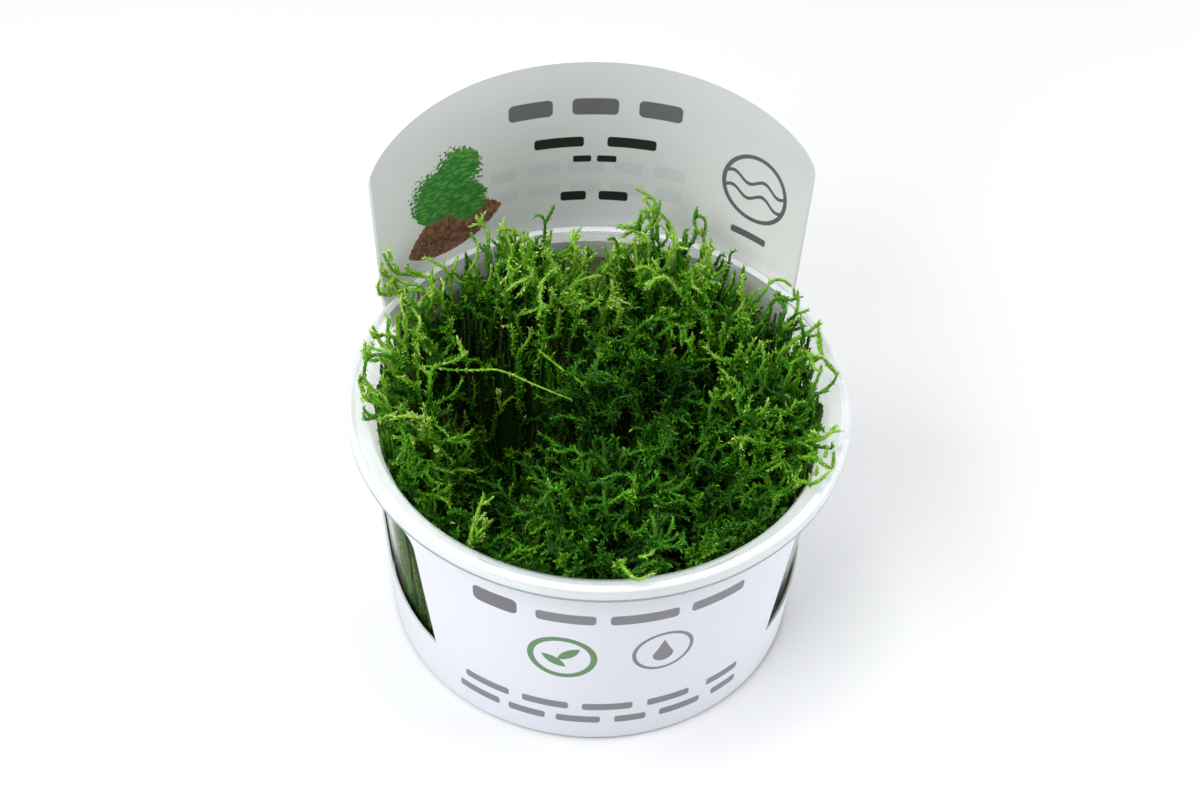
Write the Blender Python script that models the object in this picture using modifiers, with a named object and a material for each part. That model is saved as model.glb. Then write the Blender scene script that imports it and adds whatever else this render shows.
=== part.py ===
# Cup of tissue cultured spiky moss in its card sleeve.
# Metres, +Z up, the origin at the middle of the cup's base, the label facing -Y.

import math
import random

import bmesh
import bpy
from mathutils import Vector

MM = 0.001

# Cup, a thin moulded pot with a rolled lip
CUP_HEIGHT = 57.6 * MM
RIM_RADIUS = 50.0 * MM
BASE_RADIUS = 40.85 * MM            # outer wall carried down to the table
WALL_SLOPE = 0.0805                 # outward run of the wall for each metre of height
WALL = 0.8 * MM
FLOOR = 0.9 * MM
SKIRT = 1.5 * MM                    # straight drop at the lip's outer edge
GROOVE = 0.8 * MM                   # ring pressed up in the base
CUP_STEPS = 56

# Card sleeve, one strip closed in a ring
CARD = 0.45 * MM
CARD_GAP = 0.35 * MM                # between the cup and the card
SLEEVE_LIFT = 0.7 * MM              # the cup's base shows below the card
SLEEVE_STEPS = 72
BAND_TOP = 14.0 * MM                # top of the low band at the window's front corner
PANEL_TOP = 53.2 * MM               # the front panel ends under the lip
PANEL_EDGE = math.radians(56.0)     # front panel, half angle
EAR_END = math.radians(69.0)        # the ears at the panel's top corners
EAR_LOW = 44.4 * MM
HEADER_EDGE = math.radians(123.5)   # where the header starts, from the front
HEADER_TOP = 97.7 * MM
HEADER_SHOULDER = 86.5 * MM         # the arch springs from here
HEADER_HALF = 44.3 * MM             # half width of the arch
HEADER_NARROWING = 2.3 * MM         # the side edges lean back this much on the way up
ARCH_POWER = 2.6                    # a flat arch with round shoulders
HEADER_RADIUS = 50.72 * MM          # at the lip's height, just outside the lip
HEADER_SLOPE = 0.095
BLEND_FROM = math.radians(84.0)      # the card leaves the cup from here to there
BLEND_TO = math.radians(123.0)
PANEL_CORNER = 3.0 * MM             # round corner inside the window, under the ear
PANEL_RADIUS = 44.6 * MM            # the card's radius at half the panel's height
EAR_RADIUS = 47.0 * MM              # and where the ears end
PANEL_FLARE = 1.6 * MM              # the window's low tip runs this far under the panel
CARD_SPARE = 4.0 * MM               # card above the arch, trimmed off
BEYOND = 20.0 * MM                  # cutters run past the card by this much

# Nutrient gel on the cup's floor
GEL_DEPTH = 5.5 * MM

# Moss tufts
CLEAR = 0.35 * MM                   # kept between one piece and the next
TUFT_SIDES = 10
SHOOT_WAIST = 0.36                  # a shoot's width at its bend, as a share of its foot
SHOOT_LENGTH = 15.0 * MM
SHOOT_WOBBLE = 0.9 * MM
CREST = 3.0 * MM                    # the longest shoots pass the tuft's height by this much
SHORTEST = 4.0 * MM                 # and the shortest end this much below it
LIP_CLEAR_RADIUS = 43.1 * MM        # shoots stay inside this until they are over the lip
LIP_CLEAR_HEIGHT = 59.6 * MM
BEND_INSET = 0.9 * MM               # the bends keep this far inside that radius
BEND_DRIFT = 0.3                    # share of a tuft's lean that is reached at the bend
BEND_SPREAD = 0.96                  # how far the bends and the tips spread over the ground
TIP_SPREAD = 0.92
SHORT_RISE = 1.5 * MM               # a shoot this little above the bend bends half way up
POINT = 0.1                         # a tip's width before it is drawn to a point
CROWN_DEPTH = 15.0 * MM             # from the tips down to the solid crown
LEAST_COLUMN = 8.0 * MM
CROWN_PEAK = 4.8 * MM
# height above the crown and share of the ground's reach, for each ring of the crown
CROWN_RINGS = [(0.0, 0.99), (2.2 * MM, 0.76), (3.6 * MM, 0.50), (4.4 * MM, 0.24)]
SEED = 11

# name: middle (x, y), height of the tips, lean outward, reach over the lip
TUFTS = {
    "moss_back_left": ((-27.0, 26.2), 63.5, 0.15, 47.6),
    "moss_back_middle": ((-6.5, 32.5), 67.5, 0.05, 44.4),
    "moss_back_right": ((17.5, 30.0), 67.0, 0.08, 44.4),
    "moss_right_back": ((34.0, 14.5), 62.5, 0.22, 47.4),
    "moss_right": ((35.5, -10.0), 59.5, 0.18, 46.8),
    "moss_front_right": ((21.0, -29.0), 55.5, 0.08, 43.1),
    "moss_front_middle": ((-2.5, -30.0), 56.0, 0.05, 43.1),
    "moss_front_left": ((-25.5, -24.5), 51.5, 0.10, 43.1),
    "moss_left": ((-36.5, 1.0), 60.5, 0.18, 46.6),
    "moss_middle": ((9.5, 4.5), 57.0, 0.00, 43.1),
    "moss_low": ((-14.5, 1.5), 33.0, 0.00, 43.1),
}
TALLEST_TUFT = "moss_back_right"
TALLEST_PLACE = (11.5 * MM, 40.0 * MM)
TALLEST_SPREAD = 4.0 * MM
TALLEST_EXTRA = 8.0 * MM


def clear_scene():
    for item in list(bpy.data.objects):
        bpy.data.objects.remove(item, do_unlink=True)


def make_collection(name):
    group = bpy.data.collections.new(name)
    bpy.context.scene.collection.children.link(group)
    return group


def make_material(name, colour, roughness, transmission=0.0):
    material = bpy.data.materials.new(name)
    material.use_nodes = True
    shader = material.node_tree.nodes["Principled BSDF"]
    shader.inputs["Base Color"].default_value = (*colour, 1.0)
    shader.inputs["Roughness"].default_value = roughness
    shader.inputs["Metallic"].default_value = 0.0
    shader.inputs["Transmission Weight"].default_value = transmission
    material.diffuse_color = (*colour, 1.0)
    return material


def add_object(name, mesh, group, material=None):
    item = bpy.data.objects.new(name, mesh)
    group.objects.link(item)
    if material:
        mesh.materials.append(material)
    return item


def hide_cutter(item):
    item.hide_render = True
    item.display_type = "WIRE"


def smooth(item, angle=30.0):
    item.data.shade_smooth()
    item.data.set_sharp_from_angle(angle=math.radians(angle))


def turned(name, profile, steps, group, material):
    """Turn a profile of (radius, height) points about Z."""
    mesh = bpy.data.meshes.new(name)
    points = [(radius, 0.0, height) for radius, height in profile]
    edges = [(i, i + 1) for i in range(len(points) - 1)]
    mesh.from_pydata(points, edges, [])
    item = add_object(name, mesh, group, material)
    screw = item.modifiers.new("Turn", "SCREW")
    screw.axis = "Z"
    screw.angle = math.tau
    screw.steps = steps
    screw.render_steps = steps
    screw.use_merge_vertices = True
    screw.merge_threshold = 0.00002
    screw.use_smooth_shade = True
    return item


def wall_radius(height):
    """Outer radius of the cup's wall."""
    return BASE_RADIUS + WALL_SLOPE * height


def inner_radius(height):
    return wall_radius(height) - WALL


def cup_profile():
    """From the floor's middle up the inside, over the lip and down the outside."""
    top = CUP_HEIGHT
    rim = RIM_RADIUS
    skirt_low = top - 3.1 * MM
    inner = [
        (0.0, FLOOR),
        (29.6 * MM, FLOOR),
        (31.0 * MM, FLOOR + GROOVE),
        (35.4 * MM, FLOOR + GROOVE),
        (36.6 * MM, FLOOR),
        (38.4 * MM, FLOOR),
        (39.8 * MM, FLOOR + 1.2 * MM),
        (inner_radius(4.0 * MM), 4.0 * MM),
        (inner_radius(top - 4.1 * MM), top - 4.1 * MM),
        (rim - 4.5 * MM, top - 1.8 * MM),
        (rim - 4.0 * MM, top - 1.3 * MM),
    ]
    lip = [
        (rim - 2.5 * MM, top - 0.1 * MM),
        (rim - 1.3 * MM, top),
        (rim - 0.4 * MM, top - 0.5 * MM),
        (rim, skirt_low + SKIRT),
        (rim, skirt_low),
        (rim - WALL, skirt_low),
        (rim - WALL, skirt_low + SKIRT),
        (rim - 1.5 * MM, top - 0.85 * MM),
        (rim - 2.6 * MM, top - 0.95 * MM),
        (rim - 3.7 * MM, top - 2.0 * MM),
        (rim - 4.1 * MM, top - 2.9 * MM),
    ]
    outer = [
        (wall_radius(top - 4.6 * MM), top - 4.6 * MM),
        (wall_radius(2.6 * MM), 2.6 * MM),
        (BASE_RADIUS - 0.7 * MM, 0.7 * MM),
        (BASE_RADIUS - 2.4 * MM, 0.0),
        (36.0 * MM, 0.0),
        (34.8 * MM, GROOVE),
        (31.6 * MM, GROOVE),
        (30.2 * MM, 0.0),
        (0.0, 0.0),
    ]
    return inner + lip + outer


def make_cup(group):
    plastic = make_material("clear_plastic", (0.86, 0.90, 0.90), 0.12, 0.9)
    return turned("cup", cup_profile(), CUP_STEPS, group, plastic)


def ease(value, low, high):
    share = min(1.0, max(0.0, (value - low) / (high - low)))
    return share * share * (3.0 - 2.0 * share)


def sleeve_radius(angle, height):
    """Middle of the card: flush with the cup in front, outside the lip behind."""
    front = wall_radius(height) + CARD_GAP + 0.5 * CARD
    behind = HEADER_RADIUS + HEADER_SLOPE * (height - CUP_HEIGHT)
    share = ease(abs(angle), BLEND_FROM, BLEND_TO)
    return front + (behind - front) * share


def flat_cutter(name, outline, normal_axis, reach, middle, group):
    """A closed outline of (across, height) points, extruded both ways."""
    curve = bpy.data.curves.new(name, "CURVE")
    curve.dimensions = "2D"
    curve.fill_mode = "BOTH"
    curve.extrude = reach
    spline = curve.splines.new("POLY")
    spline.points.add(len(outline) - 1)
    for point, (across, height) in zip(spline.points, outline):
        point.co = (across, height, 0.0, 1.0)
    spline.use_cyclic_u = True
    flat = bpy.data.objects.new(name + "_outline", curve)
    group.objects.link(flat)
    turn = math.radians(90.0)
    flat.rotation_euler = (turn, 0.0, turn if normal_axis == "X" else 0.0)
    flat.location = middle
    bpy.context.view_layer.update()
    mesh = bpy.data.meshes.new_from_object(flat.evaluated_get(
        bpy.context.evaluated_depsgraph_get()))
    solid = add_object(name, mesh, group)
    solid.matrix_world = flat.matrix_world.copy()
    bpy.data.objects.remove(flat, do_unlink=True)
    work = bmesh.new()
    work.from_mesh(mesh)
    bmesh.ops.remove_doubles(work, verts=work.verts, dist=0.00001)
    bmesh.ops.recalc_face_normals(work, faces=work.faces)
    work.to_mesh(mesh)
    work.free()
    hide_cutter(solid)
    return solid


def arc(middle, radius, start, stop, count):
    """Points on a circular arc, angles in degrees."""
    points = []
    for i in range(count + 1):
        angle = math.radians(start + (stop - start) * i / count)
        points.append((middle[0] + radius * math.cos(angle),
                       middle[1] + radius * math.sin(angle)))
    return points


def window_outline():
    """Side view (y, z) of what is cut from both sides of the sleeve."""
    corner = PANEL_CORNER
    edge_y = -PANEL_RADIUS * math.cos(PANEL_EDGE)
    tip_y = edge_y - PANEL_FLARE
    ear_y = -EAR_RADIUS * math.cos(EAR_END)
    header_y = -HEADER_RADIUS * math.cos(HEADER_EDGE)
    front_y = -HEADER_RADIUS - BEYOND
    sky = HEADER_TOP + BEYOND
    points = [(tip_y, BAND_TOP)]
    sweep = 14
    for i in range(1, sweep + 1):
        angle = math.radians(90.0) * i / sweep
        points.append((tip_y + (header_y - tip_y) * math.sin(angle),
                       BAND_TOP + (CUP_HEIGHT - BAND_TOP) * (1.0 - math.cos(angle))))
    lean = HEADER_NARROWING * (sky - CUP_HEIGHT) / (HEADER_SHOULDER - CUP_HEIGHT)
    points += [(header_y + lean, sky), (front_y, sky), (front_y, PANEL_TOP)]
    ear_radius = 0.5 * (PANEL_TOP - EAR_LOW)
    points += arc((ear_y - ear_radius, EAR_LOW + ear_radius), ear_radius, 90.0, -90.0, 6)
    points += arc((edge_y + corner, EAR_LOW - corner), corner, 90.0, 180.0, 4)
    return points


def arch_outline():
    """Front view (x, z) of what is cut above the header's arched top."""
    rise = HEADER_TOP - HEADER_SHOULDER
    sky = HEADER_TOP + BEYOND
    wide = HEADER_RADIUS + BEYOND
    points = [(-wide, sky), (-wide, HEADER_SHOULDER)]
    count = 28
    for i in range(count + 1):
        angle = math.pi * (1.0 - i / count)
        across = math.copysign(abs(math.cos(angle)) ** (2.0 / ARCH_POWER), math.cos(angle))
        height = abs(math.sin(angle)) ** (2.0 / ARCH_POWER)
        points.append((HEADER_HALF * across, HEADER_SHOULDER + rise * height))
    points += [(wide, HEADER_SHOULDER), (wide, sky)]
    return points


def make_sleeve(group, cutters):
    card = make_material("white_card", (0.90, 0.91, 0.93), 0.55)
    low = SLEEVE_LIFT
    high = HEADER_TOP + CARD_SPARE
    mesh = bpy.data.meshes.new("card_sleeve")
    work = bmesh.new()
    bmesh.ops.create_cone(work, cap_ends=False, segments=SLEEVE_STEPS, radius1=1.0,
                          radius2=1.0, depth=1.0)
    for vert in work.verts:
        height = low if vert.co.z < 0.0 else high
        angle = math.atan2(vert.co.x, -vert.co.y)
        radius = sleeve_radius(angle, height)
        vert.co = (radius * math.sin(angle), -radius * math.cos(angle), height)
    bmesh.ops.recalc_face_normals(work, faces=work.faces)
    work.to_mesh(mesh)
    work.free()
    sleeve = add_object("card_sleeve", mesh, group, card)
    shell = sleeve.modifiers.new("Card", "SOLIDIFY")
    shell.thickness = CARD
    shell.offset = 0.0
    reach = HEADER_RADIUS + BEYOND
    window = flat_cutter("window_cutter", window_outline(), "X", reach, (0, 0, 0), cutters)
    arch = flat_cutter("arch_cutter", arch_outline(), "Y", reach, (0, 0, 0), cutters)
    for cutter in (window, arch):
        cut = sleeve.modifiers.new(cutter.name, "BOOLEAN")
        cut.operation = "DIFFERENCE"
        cut.object = cutter
    return sleeve


def make_gel(group):
    gel = make_material("nutrient_gel", (0.80, 0.82, 0.66), 0.25, 0.6)
    low = FLOOR + GROOVE + CLEAR
    high = low + GEL_DEPTH
    profile = [
        (0.0, high),
        (inner_radius(high) - CLEAR, high),
        (inner_radius(4.0 * MM) - CLEAR, 4.0 * MM),
        (39.0 * MM, low + 0.3 * MM),
        (38.2 * MM, low),
        (0.0, low),
    ]
    return turned("nutrient_gel", profile, 40, group, gel)


def tuft_middle(name):
    (x, y), _, _, _ = TUFTS[name]
    return Vector((x * MM, y * MM))


def cell_reach(name, start, direction, limit):
    """Distance from a point on a tuft's own ground to the ground's edge in a direction."""
    here = tuft_middle(name)
    inward = start.dot(direction)
    reach = -inward + math.sqrt(inward * inward + limit * limit - start.dot(start))
    for other in TUFTS:
        if other == name:
            continue
        away = tuft_middle(other) - here
        towards = away.normalized()
        facing = towards.dot(direction)
        if facing > 0.01:
            room = 0.5 * away.length - CLEAR - towards.dot(start - here)
            reach = min(reach, room / facing)
    return reach


def tuft_core(work, name, low, top):
    """Closed column of the tuft, and the faces of its crown."""
    here = tuft_middle(name)
    crown = max(top - CROWN_DEPTH, low + LEAST_COLUMN)
    levels = [(low, 0.86), (low + 0.45 * (crown - low), 0.95)]
    levels += [(crown + rise, share) for rise, share in CROWN_RINGS]
    rings = []
    for height, share in levels:
        ring = []
        for i in range(TUFT_SIDES):
            angle = math.tau * (i + 0.5) / TUFT_SIDES
            direction = Vector((math.cos(angle), math.sin(angle)))
            limit = inner_radius(height) - CLEAR
            reach = cell_reach(name, here, direction, limit) * share
            ring.append(work.verts.new((here.x + direction.x * reach,
                                        here.y + direction.y * reach, height)))
        rings.append(ring)
    foot = work.verts.new((here.x, here.y, low))
    peak = work.verts.new((here.x, here.y, crown + CROWN_PEAK))
    top_faces = []
    for level, (below, above) in enumerate(zip(rings, rings[1:])):
        for i in range(TUFT_SIDES):
            j = (i + 1) % TUFT_SIDES
            face = work.faces.new((below[i], below[j], above[j], above[i]))
            if level >= 2:
                top_faces.append(face)
    for i in range(TUFT_SIDES):
        j = (i + 1) % TUFT_SIDES
        work.faces.new((foot, rings[0][j], rings[0][i]))
        top_faces.append(work.faces.new((rings[-1][i], rings[-1][j], peak)))
    return top_faces


def draw_out(work, face, middle, share):
    """Pull one face out to a new place, narrowed about its own middle."""
    made = bmesh.ops.extrude_discrete_faces(work, faces=[face])["faces"][0]
    old = made.calc_center_median()
    for vert in made.verts:
        vert.co = middle + (vert.co - old) * share
    return made


def shoot_path(name, foot, top, lean, over):
    """Where a shoot from this foot passes: three points, the last at the tuft's crest."""
    middle = tuft_middle(name)
    plan = Vector((foot.x, foot.y))
    direction = (plan - middle).normalized()
    foot_limit = inner_radius(foot.z) - CLEAR
    share = (plan - middle).length / cell_reach(name, middle, direction, foot_limit)
    drift = middle.normalized() * lean * SHOOT_LENGTH
    bend_middle = middle + drift * BEND_DRIFT
    bend_reach = cell_reach(name, bend_middle, direction, LIP_CLEAR_RADIUS - BEND_INSET)
    bend = (bend_middle + direction * bend_reach * share * BEND_SPREAD).to_3d()
    tip_middle = middle + drift
    tip_reach = cell_reach(name, tip_middle, direction, over)
    tip = (tip_middle + direction * tip_reach * share * TIP_SPREAD).to_3d()
    tip.z = top + CREST
    leaning = over > LIP_CLEAR_RADIUS
    bend.z = LIP_CLEAR_HEIGHT if leaning else 0.5 * (foot.z + tip.z)
    return foot, bend, tip, share


def along(path, height):
    """The path's point at a height."""
    foot, bend, tip = path
    low, high = (foot, bend) if height <= bend.z else (bend, tip)
    return low.lerp(high, (height - low.z) / (high.z - low.z))


def grow_shoot(work, face, name, top, lean, over, chance):
    """A bent, pointed shoot drawn out of one face of the crown."""
    *path, share = shoot_path(name, face.calc_center_median(), top, lean, over)
    foot, bend, _ = path
    height = top + chance.uniform(-SHORTEST, CREST)
    if name == TALLEST_TUFT and (foot.xy - Vector(TALLEST_PLACE)).length < TALLEST_SPREAD:
        height += TALLEST_EXTRA
    bend_height = bend.z if height > bend.z + SHORT_RISE else 0.5 * (foot.z + height)
    wobble = Vector((chance.uniform(-1, 1), chance.uniform(-1, 1), 0.0))
    tip = along(path, height) + wobble * SHOOT_WOBBLE * share
    waist = draw_out(work, face, along(path, bend_height), SHOOT_WAIST)
    point = draw_out(work, waist, tip, POINT)
    bmesh.ops.pointmerge(work, verts=list(point.verts), merge_co=tip)


def make_tuft(name, group, material, chance):
    _, top, lean, over = TUFTS[name]
    low = FLOOR + GROOVE + 2.0 * CLEAR + GEL_DEPTH
    work = bmesh.new()
    crown_faces = tuft_core(work, name, low, top * MM)
    for face in crown_faces:
        grow_shoot(work, face, name, top * MM, lean, over * MM, chance)
    bmesh.ops.triangulate(work, faces=work.faces)
    bmesh.ops.recalc_face_normals(work, faces=work.faces)
    mesh = bpy.data.meshes.new(name)
    work.to_mesh(mesh)
    work.free()
    tuft = add_object(name, mesh, group, material)
    smooth(tuft, 50.0)
    return tuft


def make_moss(group):
    chance = random.Random(SEED)
    bright = make_material("moss_green", (0.10, 0.33, 0.03), 0.45)
    deep = make_material("moss_deep_green", (0.03, 0.12, 0.02), 0.55)
    for name in TUFTS:
        make_tuft(name, group, deep if name == "moss_low" else bright, chance)


def main():
    clear_scene()
    parts = make_collection("spiky_moss_cup")
    cutters = make_collection("cutters")
    make_cup(parts)
    make_sleeve(parts, cutters)
    make_gel(parts)
    make_moss(parts)


main()
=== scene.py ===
import math

import bmesh
import bpy
import numpy as np
from mathutils import Matrix, Vector, noise


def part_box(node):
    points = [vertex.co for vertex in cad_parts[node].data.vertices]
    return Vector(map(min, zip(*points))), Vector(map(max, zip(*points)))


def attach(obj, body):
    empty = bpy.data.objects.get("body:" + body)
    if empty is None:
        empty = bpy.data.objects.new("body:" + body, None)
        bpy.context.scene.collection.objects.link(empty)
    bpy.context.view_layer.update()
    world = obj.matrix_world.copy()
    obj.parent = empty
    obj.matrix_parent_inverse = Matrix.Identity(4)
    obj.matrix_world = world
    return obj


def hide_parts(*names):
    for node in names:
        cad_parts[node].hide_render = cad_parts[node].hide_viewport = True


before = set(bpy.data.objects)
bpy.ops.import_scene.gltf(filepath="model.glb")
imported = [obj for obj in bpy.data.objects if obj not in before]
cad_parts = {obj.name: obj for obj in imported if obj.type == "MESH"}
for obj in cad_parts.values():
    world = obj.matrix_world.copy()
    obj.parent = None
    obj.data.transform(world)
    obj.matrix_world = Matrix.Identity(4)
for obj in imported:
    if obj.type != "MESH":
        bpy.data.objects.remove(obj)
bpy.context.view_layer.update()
mm = 0.001
print("frame loaded:", len(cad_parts), "nodes")


# small helpers for node trees

def feed(tree, socket, value):
    if isinstance(value, bpy.types.NodeSocket):
        tree.links.new(value, socket)
    elif value is not None:
        socket.default_value = value


def addNode(tree, kind, inputs=None, **settings):
    made = tree.nodes.new(kind)
    for name, value in settings.items():
        setattr(made, name, value)
    for key, value in (inputs or {}).items():
        feed(tree, made.inputs[key], value)
    return made


def maths(tree, operation, *values):
    made = addNode(tree, "ShaderNodeMath", operation=operation)
    for socket, value in zip(made.inputs, values):
        feed(tree, socket, value)
    return made.outputs[0]


def between(tree, value, low, high, toLow=0.0, toHigh=1.0):
    made = addNode(tree, "ShaderNodeMapRange", {0: value, 1: low, 2: high, 3: toLow, 4: toHigh})
    return made.outputs[0]


def mixColour(tree, factor, first, second, blendType="MIX"):
    made = addNode(tree, "ShaderNodeMix", data_type="RGBA", blend_type=blendType)
    for key, value in ((0, factor), (6, first), (7, second)):
        feed(tree, made.inputs[key], value)
    return made.outputs[2]


def newGroup(name, inputs, outputs):
    # inputs: name -> default; a tuple is a vector, a plain number a value
    tree = bpy.data.node_groups.new(name, "ShaderNodeTree")
    for label, default in inputs.items():
        sort = "NodeSocketVector" if isinstance(default, tuple) else "NodeSocketFloat"
        socket = tree.interface.new_socket(label, in_out="INPUT", socket_type=sort)
        socket.default_value = default
    for label, sort in outputs.items():
        tree.interface.new_socket(label, in_out="OUTPUT", socket_type="NodeSocket" + sort)
    return tree, tree.nodes.new("NodeGroupInput").outputs, tree.nodes.new("NodeGroupOutput").inputs


def useGroup(tree, group, **values):
    # the inputs' names are given without their spaces
    made = addNode(tree, "ShaderNodeGroup", node_tree=group)
    sockets = {socket.name.replace(" ", ""): socket for socket in made.inputs}
    for label, value in values.items():
        feed(tree, sockets[label], value)
    return made.outputs


def newMaterial(name, **sockets):
    material = bpy.data.materials.new(name)
    material.use_nodes = True
    tree = material.node_tree
    shader = tree.nodes["Principled BSDF"]
    for label, value in sockets.items():
        shader.inputs[label.replace("_", " ")].default_value = value
    place = tree.nodes.new("ShaderNodeTexCoord").outputs["Object"]
    return material, tree, shader, place


def addPiece(name, mesh):
    piece = bpy.data.objects.new(name, mesh)
    bpy.context.scene.collection.objects.link(piece)
    return piece


def applied(piece):
    # the piece with its modifiers worked out, as one plain mesh
    graph = bpy.context.evaluated_depsgraph_get()
    mesh = bpy.data.meshes.new_from_object(piece.evaluated_get(graph))
    mesh.name = piece.name
    piece.modifiers.clear()
    old = piece.data
    piece.data = mesh
    bpy.data.meshes.remove(old)
    return piece


# camera, floor and light

stage = {
    "turn": -6.2,             # degrees the front panel is turned from the camera
    "rise": 46.64,            # degrees the camera looks down
    "roll": 2.81,
    "distance": 514.3 * mm,
    "aimHeight": 30.7 * mm,
    "aimRight": 0.15 * mm,
    "aimUp": 17.51 * mm,
    "lens": 75.0,
    "floorSize": 16.0,
    "world": 0.20,
    "lampAim": (0, 0, 0.04),
    "lamps": (                # name, place, size and power
        ("softboxTop", (0.0, 0.11, 0.66), (0.32, 0.32), 1.7),
        ("softboxFront", (0.0, -0.30, 0.60), (0.5, 0.05), 0.45),
        ("softboxFrontLeft", (-0.31, -0.31, 0.48), (0.32, 0.32), 1.9),
        ("softboxLeft", (-0.44, 0.0, 0.48), (0.32, 0.32), 1.25),
        ("softboxRight", (0.59, 0.0, 0.24), (0.32, 0.32), 2.1),
    ),
}


def makeCamera(s):
    turn, rise, roll = (math.radians(s[key]) for key in ("turn", "rise", "roll"))
    back = Vector((math.sin(turn) * math.cos(rise), -math.cos(turn) * math.cos(rise), math.sin(rise)))
    level = Vector((math.cos(turn), math.sin(turn), 0.0))
    over = back.cross(level)
    right = level * math.cos(roll) + over * math.sin(roll)
    up = over * math.cos(roll) - level * math.sin(roll)
    aim = Vector((0, 0, s["aimHeight"])) + level * s["aimRight"] + over * s["aimUp"]
    data = bpy.data.cameras.new("camera")
    data.lens = s["lens"]
    data.sensor_fit = "HORIZONTAL"
    data.clip_start = 0.01
    camera = bpy.data.objects.new("camera", data)
    bpy.context.scene.collection.objects.link(camera)
    camera.matrix_world = Matrix.Translation(aim + back * s["distance"]) @ Matrix(
        (right, up, back)).transposed().to_4x4()
    bpy.context.scene.camera = camera


def addLamp(name, place, aim, size, power):
    data = bpy.data.lights.new(name, "AREA")
    data.shape = "RECTANGLE"
    data.size, data.size_y = size
    data.energy = power
    lamp = bpy.data.objects.new(name, data)
    bpy.context.scene.collection.objects.link(lamp)
    lamp.location = place
    lamp.rotation_euler = (Vector(place) - Vector(aim)).to_track_quat("Z", "Y").to_euler()


def makeStage(s):
    bpy.ops.mesh.primitive_plane_add(size=s["floorSize"])
    floor = bpy.context.object
    floor.name = "floor"
    material, tree, shader, spot = newMaterial("floorPaper", Roughness=0.9)
    shade = addNode(tree, "ShaderNodeTexNoise", {"Vector": spot, "Scale": 6.0, "Detail": 2.0})
    feed(tree, shader.inputs["Base Color"], mixColour(tree, shade.outputs[0], (0.86, 0.87, 0.88, 1),
                                                     (0.89, 0.90, 0.91, 1)))
    floor.data.materials.append(material)
    world = bpy.data.worlds.new("studio")
    bpy.context.scene.world = world
    world.use_nodes = True
    sky = world.node_tree.nodes["Background"]
    sky.inputs["Color"].default_value = (0.97, 0.985, 1.0, 1)
    sky.inputs["Strength"].default_value = s["world"]
    for name, place, size, power in s["lamps"]:
        addLamp(name, place, s["lampAim"], size, power)
    bpy.context.scene.view_settings.view_transform = "Standard"


makeCamera(stage)
makeStage(stage)
print("camera, floor and light in place")


# effects that several materials share

def grainGroup():
    # fine fibres and faint clouds, as on coated card or moulded plastic
    tree, given, out = newGroup("fineGrain", {"Place": (0.0, 0.0, 0.0), "Scale": 900.0, "Clouds": 40.0},
                                {"Grain": "Float", "Cloud": "Float"})
    fine = addNode(tree, "ShaderNodeTexNoise", {"Vector": given["Place"], "Scale": given["Scale"],
                                                "Detail": 4.0, "Roughness": 0.7})
    soft = addNode(tree, "ShaderNodeTexNoise", {"Vector": given["Place"], "Scale": given["Clouds"],
                                                "Detail": 3.0})
    feed(tree, out["Grain"], fine.outputs[0])
    feed(tree, out["Cloud"], soft.outputs[0])
    return tree


fineGrain = grainGroup()


# the clear cup

cup = {
    "wall": 0.8 * mm, "floor": 0.9 * mm, "slope": 0.0805, "baseRadius": 40.85 * mm,
    "skirt": 1.5 * mm, "skirtDrop": 3.1 * mm, "groove": 0.8 * mm,
    "steps": 180,
    "edge": 0.7 * mm,          # the lowest strip of the lip's skirt, which looks darker
    "edgeDepth": 1.2 * mm,
    "flatFrom": 48.05 * mm,    # the lip's flat top starts here
    "upperFrom": 44 * mm,      # above this the inside is milkier at the back: painted light on the back wall
    "backFrom": 24 * mm,
    "milkyFrom": 53 * mm,      # and above this all the way round
}
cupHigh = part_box("cup")[1]
cupTop = cupHigh.z
rimRadius = cupHigh.x


def wallRadius(height):
    return cup["baseRadius"] + cup["slope"] * height


def innerRadius(height):
    return wallRadius(height) - cup["wall"]


def bend(before, here, after, radius, steps=4):
    # rounds one corner of a profile between its neighbours
    start = here + (before - here).normalized() * min(radius, 0.45 * (before - here).length)
    end = here + (after - here).normalized() * min(radius, 0.45 * (after - here).length)
    made = []
    for i in range(steps + 1):
        t = i / steps
        made.append(tuple(start.lerp(here, t).lerp(here.lerp(end, t), t)))
    return made


def rounded(corners):
    # corners: distance from the axis, height, rounding in millimetres
    points = [Vector(corner[:2]) for corner in corners]
    made = []
    for i, (across, height, rounding) in enumerate(corners):
        made += bend(*points[i - 1:i + 2], rounding * mm) if rounding else [(across, height)]
    return made


def turned(name, profile, steps):
    mesh = bpy.data.meshes.new(name)
    edges = [(i, i + 1) for i in range(len(profile) - 1)]
    mesh.from_pydata([(r, 0.0, z) for r, z in profile], edges, [])
    piece = addPiece(name, mesh)
    screw = piece.modifiers.new("turn", "SCREW")
    screw.axis = "Z"
    screw.angle = math.tau
    screw.steps = screw.render_steps = steps
    screw.use_merge_vertices = True
    screw.merge_threshold = 0.00002
    return applied(piece)


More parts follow.
